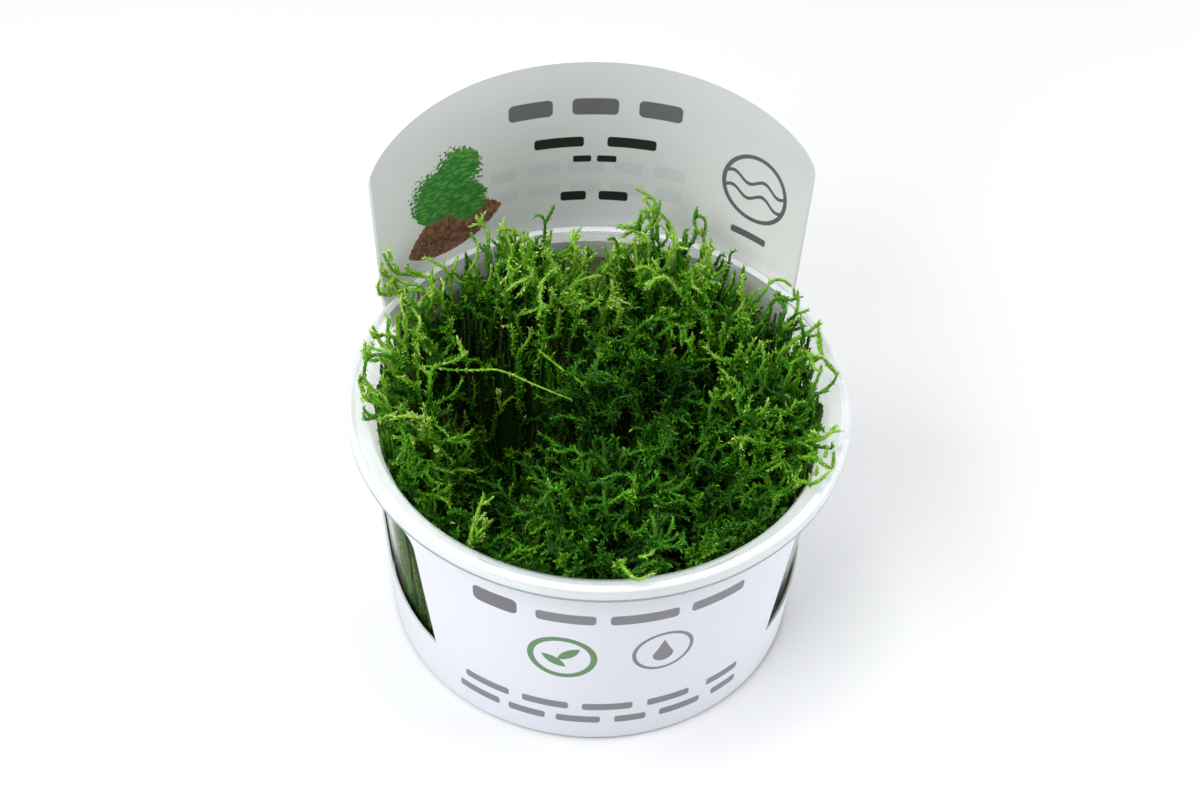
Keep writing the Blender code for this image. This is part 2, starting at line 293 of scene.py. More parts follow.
def cupProfile():
    # from the middle of the floor up the inside, over the lip and down the outside
    top, rim, skirtLow = cupTop, rimRadius, cupTop - cup["skirtDrop"]
    floor, groove, wall = cup["floor"], cup["groove"], cup["wall"]
    base = cup["baseRadius"]
    return rounded([
        (0.0, floor, 0),
        (29.6 * mm, floor, 0.5),
        (31.0 * mm, floor + groove, 0.5),
        (35.4 * mm, floor + groove, 0.5),
        (36.6 * mm, floor, 0.5),
        (38.4 * mm, floor, 0.6),
        (39.8 * mm, floor + 1.2 * mm, 1.0),
        (innerRadius(4.0 * mm), 4.0 * mm, 1.4),
        (innerRadius(30.0 * mm), 30.0 * mm, 0),
        (innerRadius(top - 4.1 * mm), top - 4.1 * mm, 0.3),
        (rim - 4.5 * mm, top - 1.9 * mm, 0.12),
        (rim - 4.1 * mm, top - 1.30 * mm, 0.12),
        (rim - 2.5 * mm, top - 0.62 * mm, 0.25),
        (rim - 1.95 * mm, top - 0.40 * mm, 0),
        (rim - 0.95 * mm, top, 0.25),
        (rim - 0.3 * mm, top - 0.4 * mm, 0.2),
        (rim, skirtLow + cup["skirt"], 0.2),
        (rim, skirtLow + cup["edge"], 0),
        (rim, skirtLow, 0.12),
        (rim - wall, skirtLow, 0.2),
        (rim - wall, skirtLow + cup["skirt"], 0.3),
        (rim - 1.4 * mm, top - 0.95 * mm, 0.3),
        (rim - 2.6 * mm, top - 1.40 * mm, 0.3),
        (rim - 3.6 * mm, top - 2.1 * mm, 0.4),
        (rim - 4.1 * mm, top - 2.9 * mm, 0.3),
        (wallRadius(top - 4.6 * mm), top - 4.6 * mm, 0.3),
        (wallRadius(30.0 * mm), 30.0 * mm, 0),
        (wallRadius(2.6 * mm), 2.6 * mm, 1.0),
        (base - 0.7 * mm, 0.7 * mm, 0.8),
        (base - 2.4 * mm, 0.0, 0.8),
        (36.0 * mm, 0.0, 0.5),
        (34.8 * mm, groove, 0.5),
        (31.6 * mm, groove, 0.5),
        (30.2 * mm, 0.0, 0.5),
        (0.0, 0.0, 0),
    ])


def clearPlastic(name, tint, roughness, transmission, cloudScale, index):
    material, tree, shader, place = newMaterial(name, Roughness=roughness, IOR=index,
                                                Specular_IOR_Level=0.6, Transmission_Weight=transmission)
    grain = useGroup(tree, fineGrain, Place=place, Scale=500.0, Clouds=cloudScale)
    light = tuple(min(1.0, c * 1.04) for c in tint[:3]) + (1,)
    feed(tree, shader.inputs["Base Color"], mixColour(tree, grain["Cloud"], tint, light))
    feed(tree, shader.inputs["Roughness"],
         between(tree, grain["Cloud"], 0.3, 0.7, roughness * 0.7, roughness * 1.3))
    bump = addNode(tree, "ShaderNodeBump", {"Strength": 0.05, "Distance": 0.00005,
                                            "Height": grain["Grain"]})
    feed(tree, shader.inputs["Normal"], bump.outputs[0])
    return material


plastics = (
    # name, tint, roughness, transmission, scale of the clouds and index of refraction; the wall's
    # index is far below the real 1.49, lowered until the left window wasn't too pale
    ("clearWall", (0.93, 0.935, 0.85, 1), 0.10, 1.0, 60.0, 1.02),
    ("milkyLip", (0.87, 0.90, 0.92, 1), 0.24, 0.22, 90.0, 1.49),
    ("lipEdge", (0.52, 0.63, 0.61, 1), 0.15, 0.60, 90.0, 1.49),
    ("upperWall", (0.84, 0.905, 0.89, 1), 0.12, 0.74, 60.0, 1.49),
)


def makeCup():
    piece = turned("clearCup", cupProfile(), cup["steps"])
    for values in plastics:
        piece.data.materials.append(clearPlastic(*values))
    wallSlot, lipSlot, edgeSlot, upperSlot = range(len(plastics))
    skirtLow = cupTop - cup["skirtDrop"]
    for face in piece.data.polygons:
        radius, height = math.hypot(face.center.x, face.center.y), face.center.z
        if height > skirtLow + cup["edge"] and radius > cup["flatFrom"] and face.normal.z > -0.2:
            face.material_index = lipSlot
        elif height > skirtLow - 0.1 * mm and radius > rimRadius - cup["edgeDepth"]:
            face.material_index = edgeSlot
        elif height > cup["upperFrom"] and face.normal.xy.dot(face.center.xy) < 0:
            # painted light: at the back the inside takes the paler milky copy of the plastic, so the wall
            # there reads lit
            milkyOrLitBack = face.center.y > cup["backFrom"] or height > cup["milkyFrom"]
            face.material_index = upperSlot if milkyOrLitBack else wallSlot
    piece.data.shade_smooth()
    piece.data.set_sharp_from_angle(angle=math.radians(24))
    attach(piece, "root")
    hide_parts("cup")


makeCup()
print("cup turned")


# the card sleeve

sleeve = {
    "card": 0.45 * mm, "gap": 0.35 * mm, "lift": 0.7 * mm, "steps": 300, "rows": 26,
    "bandTop": 14.0 * mm, "panelTop": 53.2 * mm, "panelEdge": math.radians(56.0),
    "panelRadius": 44.6 * mm, "panelFlare": 1.6 * mm, "corner": 3.0 * mm,
    "earEnd": math.radians(69.0), "earRadius": 47.0 * mm, "earLow": 44.4 * mm,
    "headerEdge": math.radians(123.5), "shoulder": 86.5 * mm, "half": 44.3 * mm,
    "narrowing": 2.3 * mm, "archPower": 2.6, "headerRadius": 50.72 * mm, "headerSlope": 0.095,
    "blendFrom": math.radians(84.0), "blendTo": math.radians(123.0),
    "sky": 20 * mm,            # how far the cutters reach above the header
    "beyond": 70 * mm,         # and from the cup's axis
}
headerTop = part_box("card_sleeve")[1].z


def smoothStep(value, low, high):
    share = np.clip((value - low) / (high - low), 0.0, 1.0)
    return share * share * (3.0 - 2.0 * share)


def sleeveRadius(angle, height):
    front = wallRadius(height) + sleeve["gap"] + 0.5 * sleeve["card"]
    behind = sleeve["headerRadius"] + sleeve["headerSlope"] * (height - cupTop)
    return front + (behind - front) * smoothStep(abs(angle), sleeve["blendFrom"], sleeve["blendTo"])


def arcPoints(middle, radius, start, stop, count):
    angles = [math.radians(start + (stop - start) * i / count) for i in range(count + 1)]
    return [(middle[0] + radius * math.cos(a), middle[1] + radius * math.sin(a)) for a in angles]


def windowOutline(s):
    # side view (y, z) of the open sides
    edgeY = -s["panelRadius"] * math.cos(s["panelEdge"])
    tipY = edgeY - s["panelFlare"]
    earY = -s["earRadius"] * math.cos(s["earEnd"])
    headerY = -s["headerRadius"] * math.cos(s["headerEdge"])
    sky, beyond = headerTop + s["sky"], s["beyond"]
    points = [(tipY, s["bandTop"])]
    for i in range(1, 49):
        a = math.radians(90) * i / 48
        points.append((tipY + (headerY - tipY) * math.sin(a),
                       s["bandTop"] + (cupTop - s["bandTop"]) * (1 - math.cos(a))))
    lean = s["narrowing"] * (sky - cupTop) / (s["shoulder"] - cupTop)
    points += [(headerY + lean, sky), (-beyond, sky), (-beyond, s["panelTop"])]
    earHalf = 0.5 * (s["panelTop"] - s["earLow"])
    points += arcPoints((earY - earHalf, s["earLow"] + earHalf), earHalf, 90, -90, 20)
    points += arcPoints((edgeY + s["corner"], s["earLow"] - s["corner"]), s["corner"], 90, 180, 10)
    return points


def archOutline(s):
    # front view (x, z) of the air above the header
    sky, wide = headerTop + s["sky"], s["beyond"]
    points = [(-wide, sky), (-wide, s["shoulder"])]
    for i in range(81):
        a = math.pi * (1 - i / 80)
        across = math.copysign(abs(math.cos(a)) ** (2 / s["archPower"]), math.cos(a))
        points.append((s["half"] * across, s["shoulder"] + (headerTop - s["shoulder"])
                       * abs(math.sin(a)) ** (2 / s["archPower"])))
    return points + [(wide, s["shoulder"]), (wide, sky)]


def makeCutter(name, outline, sideways):
    reach = sleeve["beyond"]
    work = bmesh.new()
    if sideways:
        ring = [work.verts.new((-reach, a, z)) for a, z in outline]
        push = Vector((2 * reach, 0, 0))
    else:
        ring = [work.verts.new((a, -reach, z)) for a, z in outline]
        push = Vector((0, 2 * reach, 0))
    face = work.faces.new(ring)
    made = bmesh.ops.extrude_face_region(work, geom=[face])["geom"]
    bmesh.ops.translate(work, vec=push, verts=[v for v in made if isinstance(v, bmesh.types.BMVert)])
    bmesh.ops.recalc_face_normals(work, faces=work.faces)
    mesh = bpy.data.meshes.new(name)
    work.to_mesh(mesh)
    work.free()
    return addPiece(name, mesh)


def sleeveMesh(s):
    high = headerTop + 4 * mm
    angles = [-math.pi + math.tau * i / s["steps"] for i in range(s["steps"])]
    rows = [s["lift"] + (high - s["lift"]) * j / s["rows"] for j in range(s["rows"] + 1)]
    points = []
    for z in rows:
        for a in angles:
            r = float(sleeveRadius(a, z))
            points.append((r * math.sin(a), -r * math.cos(a), z))
    faces = []
    for j in range(s["rows"]):
        for i in range(s["steps"]):
            k = (i + 1) % s["steps"]
            faces.append((j * s["steps"] + i, j * s["steps"] + k,
                          (j + 1) * s["steps"] + k, (j + 1) * s["steps"] + i))
    mesh = bpy.data.meshes.new("cardSleeve")
    mesh.from_pydata(points, [], faces)
    return mesh


# print on the card: plain bars and simple signs

def softEdge(tree, distance):
    # 1 inside a shape and 0 outside, with an edge 0.12 mm wide
    return between(tree, distance, 0.06, -0.06)


def lengthOf(tree, x, y):
    return maths(tree, "SQRT", maths(tree, "ADD", maths(tree, "MULTIPLY", x, x),
                                     maths(tree, "MULTIPLY", y, y)))


def fromMiddle(tree, given):
    return (maths(tree, "SUBTRACT", given["Across"], given["Middle Across"]),
            maths(tree, "SUBTRACT", given["Up"], given["Middle Up"]))


def barRowGroup():
    tree, given, out = newGroup("barRow", {
        "Across": 0.0, "Up": 0.0, "Left": 0.0, "Right": 1.0, "Middle": 0.0, "Half Height": 1.0,
        "Pitch": 10.0, "Seed": 0.0}, {"Mask": "Float"})
    along = maths(tree, "DIVIDE", maths(tree, "SUBTRACT", given["Across"], given["Left"]), given["Pitch"])
    cell = maths(tree, "FLOOR", along)
    shake = addNode(tree, "ShaderNodeTexWhiteNoise",
                    {"W": maths(tree, "ADD", cell, given["Seed"])}, noise_dimensions="1D").outputs[0]
    halfBar = maths(tree, "MULTIPLY", given["Pitch"], between(tree, shake, 0, 1, 0.30, 0.45))
    aside = maths(tree, "ABSOLUTE", maths(tree, "MULTIPLY", given["Pitch"], maths(
        tree, "SUBTRACT", maths(tree, "FRACT", along), 0.5)))
    corner = maths(tree, "MULTIPLY", given["Half Height"], 0.55)
    sideways = maths(tree, "MAXIMUM", 0.0, maths(tree, "SUBTRACT", aside,
                                                 maths(tree, "SUBTRACT", halfBar, corner)))
    height = maths(tree, "ABSOLUTE", maths(tree, "SUBTRACT", given["Up"], given["Middle"]))
    upward = maths(tree, "MAXIMUM", 0.0, maths(tree, "SUBTRACT", height, maths(
        tree, "SUBTRACT", given["Half Height"], corner)))
    gone = lengthOf(tree, sideways, upward)
    bar = softEdge(tree, maths(tree, "SUBTRACT", gone, corner))
    inside = maths(tree, "MULTIPLY", maths(tree, "GREATER_THAN", given["Across"], given["Left"]),
                   maths(tree, "LESS_THAN", given["Across"], given["Right"]))
    feed(tree, out["Mask"], maths(tree, "MULTIPLY", bar, inside))
    return tree


def spotGroup():
    # distance from a middle, for rings and dots; the outputs are masks
    tree, given, out = newGroup("ringAndDot", {
        "Across": 0.0, "Up": 0.0, "Middle Across": 0.0, "Middle Up": 0.0, "Radius": 5.0,
        "Stroke": 1.0}, {"Ring": "Float", "Dot": "Float"})
    x, y = fromMiddle(tree, given)
    far = lengthOf(tree, x, y)
    fromRing = maths(tree, "ABSOLUTE", maths(tree, "SUBTRACT", far, given["Radius"]))
    edge = maths(tree, "SUBTRACT", fromRing, maths(tree, "MULTIPLY", given["Stroke"], 0.5))
    feed(tree, out["Ring"], softEdge(tree, edge))
    feed(tree, out["Dot"], softEdge(tree, maths(tree, "SUBTRACT", far, given["Radius"])))
    return tree


def leafGroup():
    # a leaf between two arcs, turned by an angle
    tree, given, out = newGroup("leafSign", {
        "Across": 0.0, "Up": 0.0, "Middle Across": 0.0, "Middle Up": 0.0, "Half Length": 4.0,
        "Half Width": 1.6, "Turn": 0.0}, {"Mask": "Float"})
    x, y = fromMiddle(tree, given)
    cosine, sine = maths(tree, "COSINE", given["Turn"]), maths(tree, "SINE", given["Turn"])
    along = maths(tree, "ADD", maths(tree, "MULTIPLY", x, cosine), maths(tree, "MULTIPLY", y, sine))
    aside = maths(tree, "SUBTRACT", maths(tree, "MULTIPLY", y, cosine), maths(tree, "MULTIPLY", x, sine))
    length2 = maths(tree, "MULTIPLY", given["Half Length"], given["Half Length"])
    width2 = maths(tree, "MULTIPLY", given["Half Width"], given["Half Width"])
    offset = maths(tree, "DIVIDE", maths(tree, "SUBTRACT", length2, width2),
                   maths(tree, "MULTIPLY", given["Half Width"], 2.0))
    radius = maths(tree, "ADD", offset, given["Half Width"])
    far = maths(tree, "ADD", maths(tree, "ABSOLUTE", aside), offset)
    reach = lengthOf(tree, along, far)
    feed(tree, out["Mask"], softEdge(tree, maths(tree, "SUBTRACT", reach, radius)))
    return tree


def dropGroup():
    # a water drop: a round foot and two straight sides up to a point
    tree, given, out = newGroup("dropSign", {
        "Across": 0.0, "Up": 0.0, "Middle Across": 0.0, "Middle Up": 0.0, "Radius": 2.0},
        {"Mask": "Float"})
    x, y = fromMiddle(tree, given)
    far = lengthOf(tree, x, y)
    foot = maths(tree, "SUBTRACT", far, given["Radius"])
    point = maths(tree, "MULTIPLY", given["Radius"], 2.4)
    side = maths(tree, "SUBTRACT", maths(tree, "ABSOLUTE", x), maths(
        tree, "MULTIPLY", maths(tree, "SUBTRACT", point, y), 0.43))
    spike = maths(tree, "MAXIMUM", side, maths(tree, "SUBTRACT", maths(
        tree, "MULTIPLY", given["Radius"], 0.4), y))
    feed(tree, out["Mask"], softEdge(tree, maths(tree, "MINIMUM", foot, spike)))
    return tree


def waveGroup():
    tree, given, out = newGroup("waveSign", {
        "Across": 0.0, "Up": 0.0, "Height": 0.0, "Swing": 0.8, "Length": 6.0, "Stroke": 0.8},
        {"Mask": "Float"})
    phase = maths(tree, "MULTIPLY", maths(tree, "DIVIDE", given["Across"], given["Length"]), math.tau)
    line = maths(tree, "ADD", given["Height"], maths(tree, "MULTIPLY", given["Swing"],
                                                     maths(tree, "SINE", phase)))
    off = maths(tree, "ABSOLUTE", maths(tree, "SUBTRACT", given["Up"], line))
    edge = maths(tree, "SUBTRACT", off, maths(tree, "MULTIPLY", given["Stroke"], 0.5))
    feed(tree, out["Mask"], softEdge(tree, edge))
    return tree


barRow, ringAndDot, leafSign, dropSign, waveSign = (
    barRowGroup(), spotGroup(), leafGroup(), dropGroup(), waveGroup())

printing = {
    "frontRadius": 44.0, "headerRadius": 53.0,    # millimetres, to unroll the card
    "grey": (0.135, 0.135, 0.15, 1), "lightGrey": (0.20, 0.20, 0.215, 1),
    "black": (0.012, 0.014, 0.012, 1), "green": (0.095, 0.235, 0.085, 1),
}


def unrolled(tree, place, front):
    # millimetres along the card and above the table
    parts = addNode(tree, "ShaderNodeSeparateXYZ", {0: place}).outputs
    side = maths(tree, "MULTIPLY", parts[1], -1.0 if front else 1.0)
    angle = maths(tree, "ARCTAN2", parts[0], side)
    across = maths(tree, "MULTIPLY", angle, printing["frontRadius" if front else "headerRadius"])
    return across, maths(tree, "MULTIPLY", parts[2], 1000.0)


def inkOver(tree, base, mask, ink):
    return mixColour(tree, mask, base, ink)


def cardMaterial(name, tint, roughness, draw=None, front=True):
    material, tree, shader, place = newMaterial(name, Roughness=roughness, Coat_Weight=0.15,
                                                Coat_Roughness=0.25)
    grain = useGroup(tree, fineGrain, Place=place, Scale=1400.0, Clouds=45.0)
    shade = tuple(c * 0.965 for c in tint[:3]) + (1,)
    colour = mixColour(tree, grain["Cloud"], shade, tint)
    if draw:
        across, up = unrolled(tree, place, front)
        colour = draw(tree, across, up, colour)
    feed(tree, shader.inputs["Base Color"], colour)
    feed(tree, shader.inputs["Roughness"], between(tree, grain["Cloud"], 0.3, 0.7, roughness - 0.05,
                                                   roughness + 0.06))
    bump = addNode(tree, "ShaderNodeBump", {"Strength": 0.12, "Distance": 0.00004,
                                            "Height": grain["Grain"]})
    feed(tree, shader.inputs["Normal"], bump.outputs[0])
    return material


def row(tree, across, up, left, right, middle, halfHeight, pitch, seed):
    return useGroup(tree, barRow, Across=across, Up=up, Left=left, Right=right, Middle=middle,
                    HalfHeight=halfHeight, Pitch=pitch, Seed=seed)["Mask"]


def drawFront(tree, across, up, colour):
    p = printing
    for left, right, middle, half, pitch, seed, ink in (
            (-28.5, -17.5, 43.0, 2.3, 11.0, 3, "grey"),
            (-16.5, 28.5, 42.8, 1.5, 15.0, 5, "lightGrey"),
            (-32.5, 32.5, 12.1, 1.15, 13.0, 8, "lightGrey"),
            (-33.5, 32.5, 7.4, 1.15, 11.0, 15, "lightGrey")):
        colour = inkOver(tree, colour, row(tree, across, up, left, right, middle, half, pitch, seed), p[ink])
    ring = useGroup(tree, ringAndDot, Across=across, Up=up, MiddleAcross=-9.6, MiddleUp=29.3,
                    Radius=6.3, Stroke=1.3)["Ring"]
    colour = inkOver(tree, colour, ring, p["green"])
    for x, y, turn in ((-8.3, 30.6, 0.75), (-11.2, 28.0, 2.5)):
        leaf = useGroup(tree, leafSign, Across=across, Up=up, MiddleAcross=x, MiddleUp=y,
                        HalfLength=3.0, HalfWidth=1.15, Turn=turn)["Mask"]
        colour = inkOver(tree, colour, leaf, p["green"])
    ring = useGroup(tree, ringAndDot, Across=across, Up=up, MiddleAcross=10.4, MiddleUp=30.2,
                    Radius=5.9, Stroke=0.8)["Ring"]
    colour = inkOver(tree, colour, ring, p["lightGrey"])
    drop = useGroup(tree, dropSign, Across=across, Up=up, MiddleAcross=10.4, MiddleUp=28.9,
                    Radius=2.1)["Mask"]
    return inkOver(tree, colour, drop, p["lightGrey"])


def drawHeader(tree, across, up, colour):
    p = printing
    # painted light: the card is made lighter toward its lower corners, where the lip and moss shade it
    corner = maths(tree, "MULTIPLY", between(tree, maths(tree, "ABSOLUTE", across), 14.0, 40.0),
                   between(tree, up, 58.0, 88.0, 1.0, 0.0))
    colour = mixColour(tree, corner, colour, (0.93, 0.94, 0.93, 1))
    # painted shade and light: low down the card is mixed toward a darker olive, for shade and green light
    # from the moss
    low = maths(tree, "MULTIPLY", between(tree, up, 48.0, 56.0, 1.0, 0.0), 0.9)
    colour = mixColour(tree, low, colour, (0.62, 0.64, 0.36, 1))
    # faint show-through of the rows on the back
    for middle, seed in ((72.0, 41), (66.5, 47)):
        ghost = row(tree, across, up, -22.0, 24.0, middle, 1.5, 9.0, seed)
        colour = mixColour(tree, maths(tree, "MULTIPLY", ghost, 0.16), colour, (0.30, 0.42, 0.40, 1))
    for left, right, middle, half, pitch, seed, ink in (
            (-18.0, 22.0, 87.0, 2.0, 13.4, 21, "grey"),
            (-13.0, 17.5, 78.3, 1.25, 15.3, 26, "black"),
            (-3.0, 7.5, 74.0, 0.8, 5.2, 29, "black"),
            (-6.5, 11.0, 64.6, 1.15, 8.7, 33, "black")):
        colour = inkOver(tree, colour, row(tree, across, up, left, right, middle, half, pitch, seed), p[ink])
    colour = drawMark(tree, across, up, colour)
    return drawPicture(tree, across, up, colour)


def drawMark(tree, across, up, colour):
    # a ring with two waves, and a bar below it
    p = printing
    x, y, size = 38.0, 75.6, 7.6
    spot = useGroup(tree, ringAndDot, Across=across, Up=up, MiddleAcross=x, MiddleUp=y, Radius=size,
                    Stroke=0.95)
    marks = spot["Ring"]
    for rise in (-2.0, 1.6):
        wave = useGroup(tree, waveSign, Across=maths(tree, "SUBTRACT", across, x), Up=up,
                        Height=y + rise, Swing=0.9, Length=7.5, Stroke=0.85)["Mask"]
        marks = maths(tree, "MAXIMUM", marks, maths(tree, "MULTIPLY", wave, spot["Dot"]))
    marks = maths(tree, "MAXIMUM", marks, row(tree, across, up, 31.0, 45.0, 63.8, 0.85, 14.0, 12))
    return inkOver(tree, colour, marks, p["grey"])


def drawPicture(tree, across, up, colour):
    # a brown stone with three cushions of moss on it
    spot = addNode(tree, "ShaderNodeCombineXYZ", {0: across, 1: up}).outputs[0]
    ragged = addNode(tree, "ShaderNodeTexNoise", {"Vector": spot, "Scale": 1.4, "Detail": 3.0})
    jag = between(tree, ragged.outputs[0], 0.3, 0.7, -1.6, 1.6)
    smallJag = maths(tree, "MULTIPLY", jag, 0.35)
    stone = useGroup(tree, leafSign, Across=maths(tree, "ADD", across, smallJag), Up=up,
                     MiddleAcross=-30.5, MiddleUp=64.0, HalfLength=12.5, HalfWidth=5.6,
                     Turn=0.12)["Mask"]
    veins = addNode(tree, "ShaderNodeTexNoise", {"Vector": spot, "Scale": 0.8, "Detail": 6.0,
                                                 "Distortion": 1.5}).outputs[0]
    rock = mixColour(tree, between(tree, veins, 0.35, 0.65), (0.085, 0.035, 0.02, 1), (0.36, 0.17, 0.09, 1))
    colour = inkOver(tree, colour, stone, rock)
    # short strokes of two greens
    strokes = addNode(tree, "ShaderNodeTexVoronoi", {
        "Vector": addNode(tree, "ShaderNodeMapping", {"Vector": spot, "Rotation": (0, 0, 0.7),
                                                      "Scale": (0.55, 2.2, 1)}).outputs[0],
        "Scale": 1.0, "Randomness": 1.0})
    green = mixColour(tree, between(tree, strokes.outputs["Distance"], 0.15, 0.6),
                      (0.17, 0.42, 0.07, 1), (0.025, 0.20, 0.035, 1))
    for x, y, size in ((-34.0, 73.5, 6.4), (-28.0, 77.5, 5.6), (-26.0, 69.0, 4.6)):
        cushion = useGroup(tree, ringAndDot, Across=maths(tree, "ADD", across, jag),
                           Up=maths(tree, "SUBTRACT", up, jag), MiddleAcross=x, MiddleUp=y,
                           Radius=size)["Dot"]
        colour = inkOver(tree, colour, cushion, green)
    return colour


def drawBack(tree, across, up, colour):
    for middle, seed in ((72.0, 41), (66.5, 47), (48.0, 51), (43.5, 55), (39.0, 59), (34.5, 63)):
        rowMask = row(tree, across, up, -24.0, 24.0, middle, 1.15, 11.0, seed)
        colour = inkOver(tree, colour, rowMask, printing["lightGrey"])
    return colour


def drawOuter(tree, across, up, colour):
    # the same outside face carries the front's print and the back's
    colour = drawFront(tree, across, up, colour)
    place = addNode(tree, "ShaderNodeTexCoord").outputs["Object"]
    backAcross, backUp = unrolled(tree, place, False)
    return drawBack(tree, backAcross, backUp, colour)


def makeSleeve(s):
    piece = addPiece("cardSleeve", sleeveMesh(s))
    shell = piece.modifiers.new("card", "SOLIDIFY")
    shell.thickness = s["card"]
    shell.offset = 0.0
    cutters = [makeCutter("windowCutter", windowOutline(s), True),
               makeCutter("archCutter", archOutline(s), False)]
    for cutter in cutters:
        cut = piece.modifiers.new(cutter.name, "BOOLEAN")
        cut.operation = "DIFFERENCE"
        cut.object = cutter
    applied(piece)
    for cutter in cutters:
        bpy.data.objects.remove(cutter, do_unlink=True)
    mesh = piece.data
    mesh.materials.clear()
    mesh.materials.append(cardMaterial("cardOutside", (0.81, 0.82, 0.895, 1), 0.42, drawOuter))
    mesh.materials.append(cardMaterial("cardInside", (0.71, 0.725, 0.725, 1), 0.5, drawHeader, False))
    mesh.materials.append(cardMaterial("cardEdge", (0.80, 0.81, 0.83, 1), 0.7))
    for face in mesh.polygons:
        outward = Vector((face.center.x, face.center.y, 0)).normalized().dot(face.normal)
        face.material_index = 0 if outward > 0.6 else 1 if outward < -0.6 else 2
    mesh.shade_smooth()
    mesh.set_sharp_from_angle(angle=math.radians(40))
    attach(piece, "root")
    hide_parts("card_sleeve")


makeSleeve(sleeve)
print("card sleeve cut and printed")


# the nutrient gel

def makeGel():
    low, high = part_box("nutrient_gel")
    rise = 0.5 * mm
    top = high.z
    edge = innerRadius(top) - 0.35 * mm
    profile = [(0.0, top - rise), (0.35 * edge, top - 0.95 * rise), (0.8 * edge, top - 0.8 * rise),
               (0.94 * edge, top - 0.5 * rise), (edge, top), (innerRadius(4 * mm) - 0.35 * mm, 4 * mm),
               (39.0 * mm, low.z + 0.3 * mm), (38.2 * mm, low.z), (0.0, low.z)]
    piece = turned("nutrientGel", profile, 96)
    material, tree, shader, place = newMaterial("clearGel", Roughness=0.12, IOR=1.34,
                                                Transmission_Weight=0.85)
    grain = useGroup(tree, fineGrain, Place=place, Scale=260.0, Clouds=120.0)
    feed(tree, shader.inputs["Base Color"], mixColour(tree, grain["Cloud"], (0.70, 0.72, 0.52, 1),
                                                      (0.85, 0.87, 0.74, 1)))
    bump = addNode(tree, "ShaderNodeBump", {"Strength": 0.4, "Distance": 0.0003,
                                            "Height": grain["Cloud"]})
    feed(tree, shader.inputs["Normal"], bump.outputs[0])
    piece.data.materials.append(material)
    piece.data.shade_smooth()
    piece.data.set_sharp_from_angle(angle=math.radians(40))
    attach(piece, "root")
    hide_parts("nutrient_gel")


makeGel()
print("gel poured")


# the moss

moss = {
    "seed": 21,
    "ground": 8.6 * mm,           # the stems start on the gel
    "spread": 41.4 * mm,          # widest circle of shoots
    "backGap": 2.8 * mm,          # at the back they stand off the wall
    "spacing": 2.70 * mm,         # between tall shoots
    "crown": (16 * mm, 28 * mm),  # leafy length of a tall shoot
    "fillSpacing": 3.1 * mm,      # between the shorter ones under them
    "fillCrown": (8 * mm, 15 * mm),
    "curtainSpacing": 2.3 * mm,   # between those that hang against the wall
    "crownPoints": 18,            # points along a leafy shoot
    "stemPoints": 9,
    "twigSteps": 5,
    "blend": 3.2 * mm,            # width over which one tuft's height runs into the next
    "valley": 6.0 * mm,           # how far the tips drop between two tufts
    "lump": 4.0 * mm,             # uneven height of the tips
    "lumpScale": 170,             # lumps in a metre
    "hollowFloor": 9 * mm,        # a hollow stays this far above the gel
    "thick": 0.45 * mm,           # radius of a leafy shoot's body
    "stem": 0.24 * mm,            # radius of a bare stem
    "stemSpacing": 2.1 * mm,
    "stemSides": 4,
    "wallStems": (52, 128, 0.9),  # degrees from the front: first, last and step
    "wallStemPoints": 11,
    "leafSpacing": 0.23 * mm,
    "leafLength": 1.45 * mm,
    "leafWidth": 0.56 * mm,
    "leafTilt": 43.0,
    "leafTurn": 137.5,            # degrees from one leaf to the next round the shoot
    "wallClear": 1.0 * mm,        # from the shoots to the wall
    "widest": 43.2 * mm,          # and no further out than this, unless they cross the lip
    "crossFrom": 43.0 * mm,       # a shoot past this may cross it, if its reach is more than crossReach
    "crossReach": 44 * mm,
    "lipClear": 58.6 * mm,        # a shoot that crosses the lip lies no lower than this
}
# how far a shoot of each style curls, in radians, and the share of its length where that starts
styles = {
    "straight": dict(curl=(-0.8, 1.5), late=(0.70, 0.88)),
    "arching": dict(curl=(0.9, 2.0), late=(0.35, 0.6)),
    "curled": dict(curl=(1.5, 2.8), late=(0.10, 0.35)),
}
# middle and height of the tips in millimetres, lean outward, how far from the cup's axis its shoots
# may reach, share of upright shoots, and how much light is painted into the tuft's colour
tufts = {
    "moss_back_left": dict(middle=(-27.0, 26.2), top=66.5, lean=0.25, reach=48.6, upright=0.70, light=0.94),
    "moss_back_middle": dict(middle=(-6.5, 32.5), top=70.0, lean=0.05, reach=43.0, upright=0.80,
                             light=1.10),
    "moss_back_right": dict(middle=(17.5, 30.0), top=69.0, lean=0.12, reach=43.0, upright=0.80, light=1.04),
    "moss_right_back": dict(middle=(34.0, 14.5), top=62.0, lean=0.30, reach=47.5, upright=0.72, light=0.84),
    "moss_right": dict(middle=(35.5, -10.0), top=59.5, lean=0.32, reach=47.5, upright=0.60, light=0.76),
    "moss_front_right": dict(middle=(21.0, -29.0), top=54.5, lean=0.20, reach=43.0, upright=0.18,
                             light=0.49),
    "moss_front_middle": dict(middle=(-2.5, -30.0), top=55.0, lean=0.12, reach=43.0, upright=0.18,
                              light=0.51),
    "moss_front_left": dict(middle=(-25.5, -24.5), top=51.5, lean=0.20, reach=43.0, upright=0.18,
                            light=0.52),
    "moss_left": dict(middle=(-36.5, 1.0), top=60.5, lean=0.40, reach=47.5, upright=0.50, light=0.92),
    "moss_middle": dict(middle=(9.5, 4.5), top=57.0, lean=0.00, reach=43.0, upright=0.45, light=0.42),
    "moss_low": dict(middle=(-14.5, 1.5), top=30.0, lean=0.00, reach=43.0, upright=0.60, light=0.44),
}
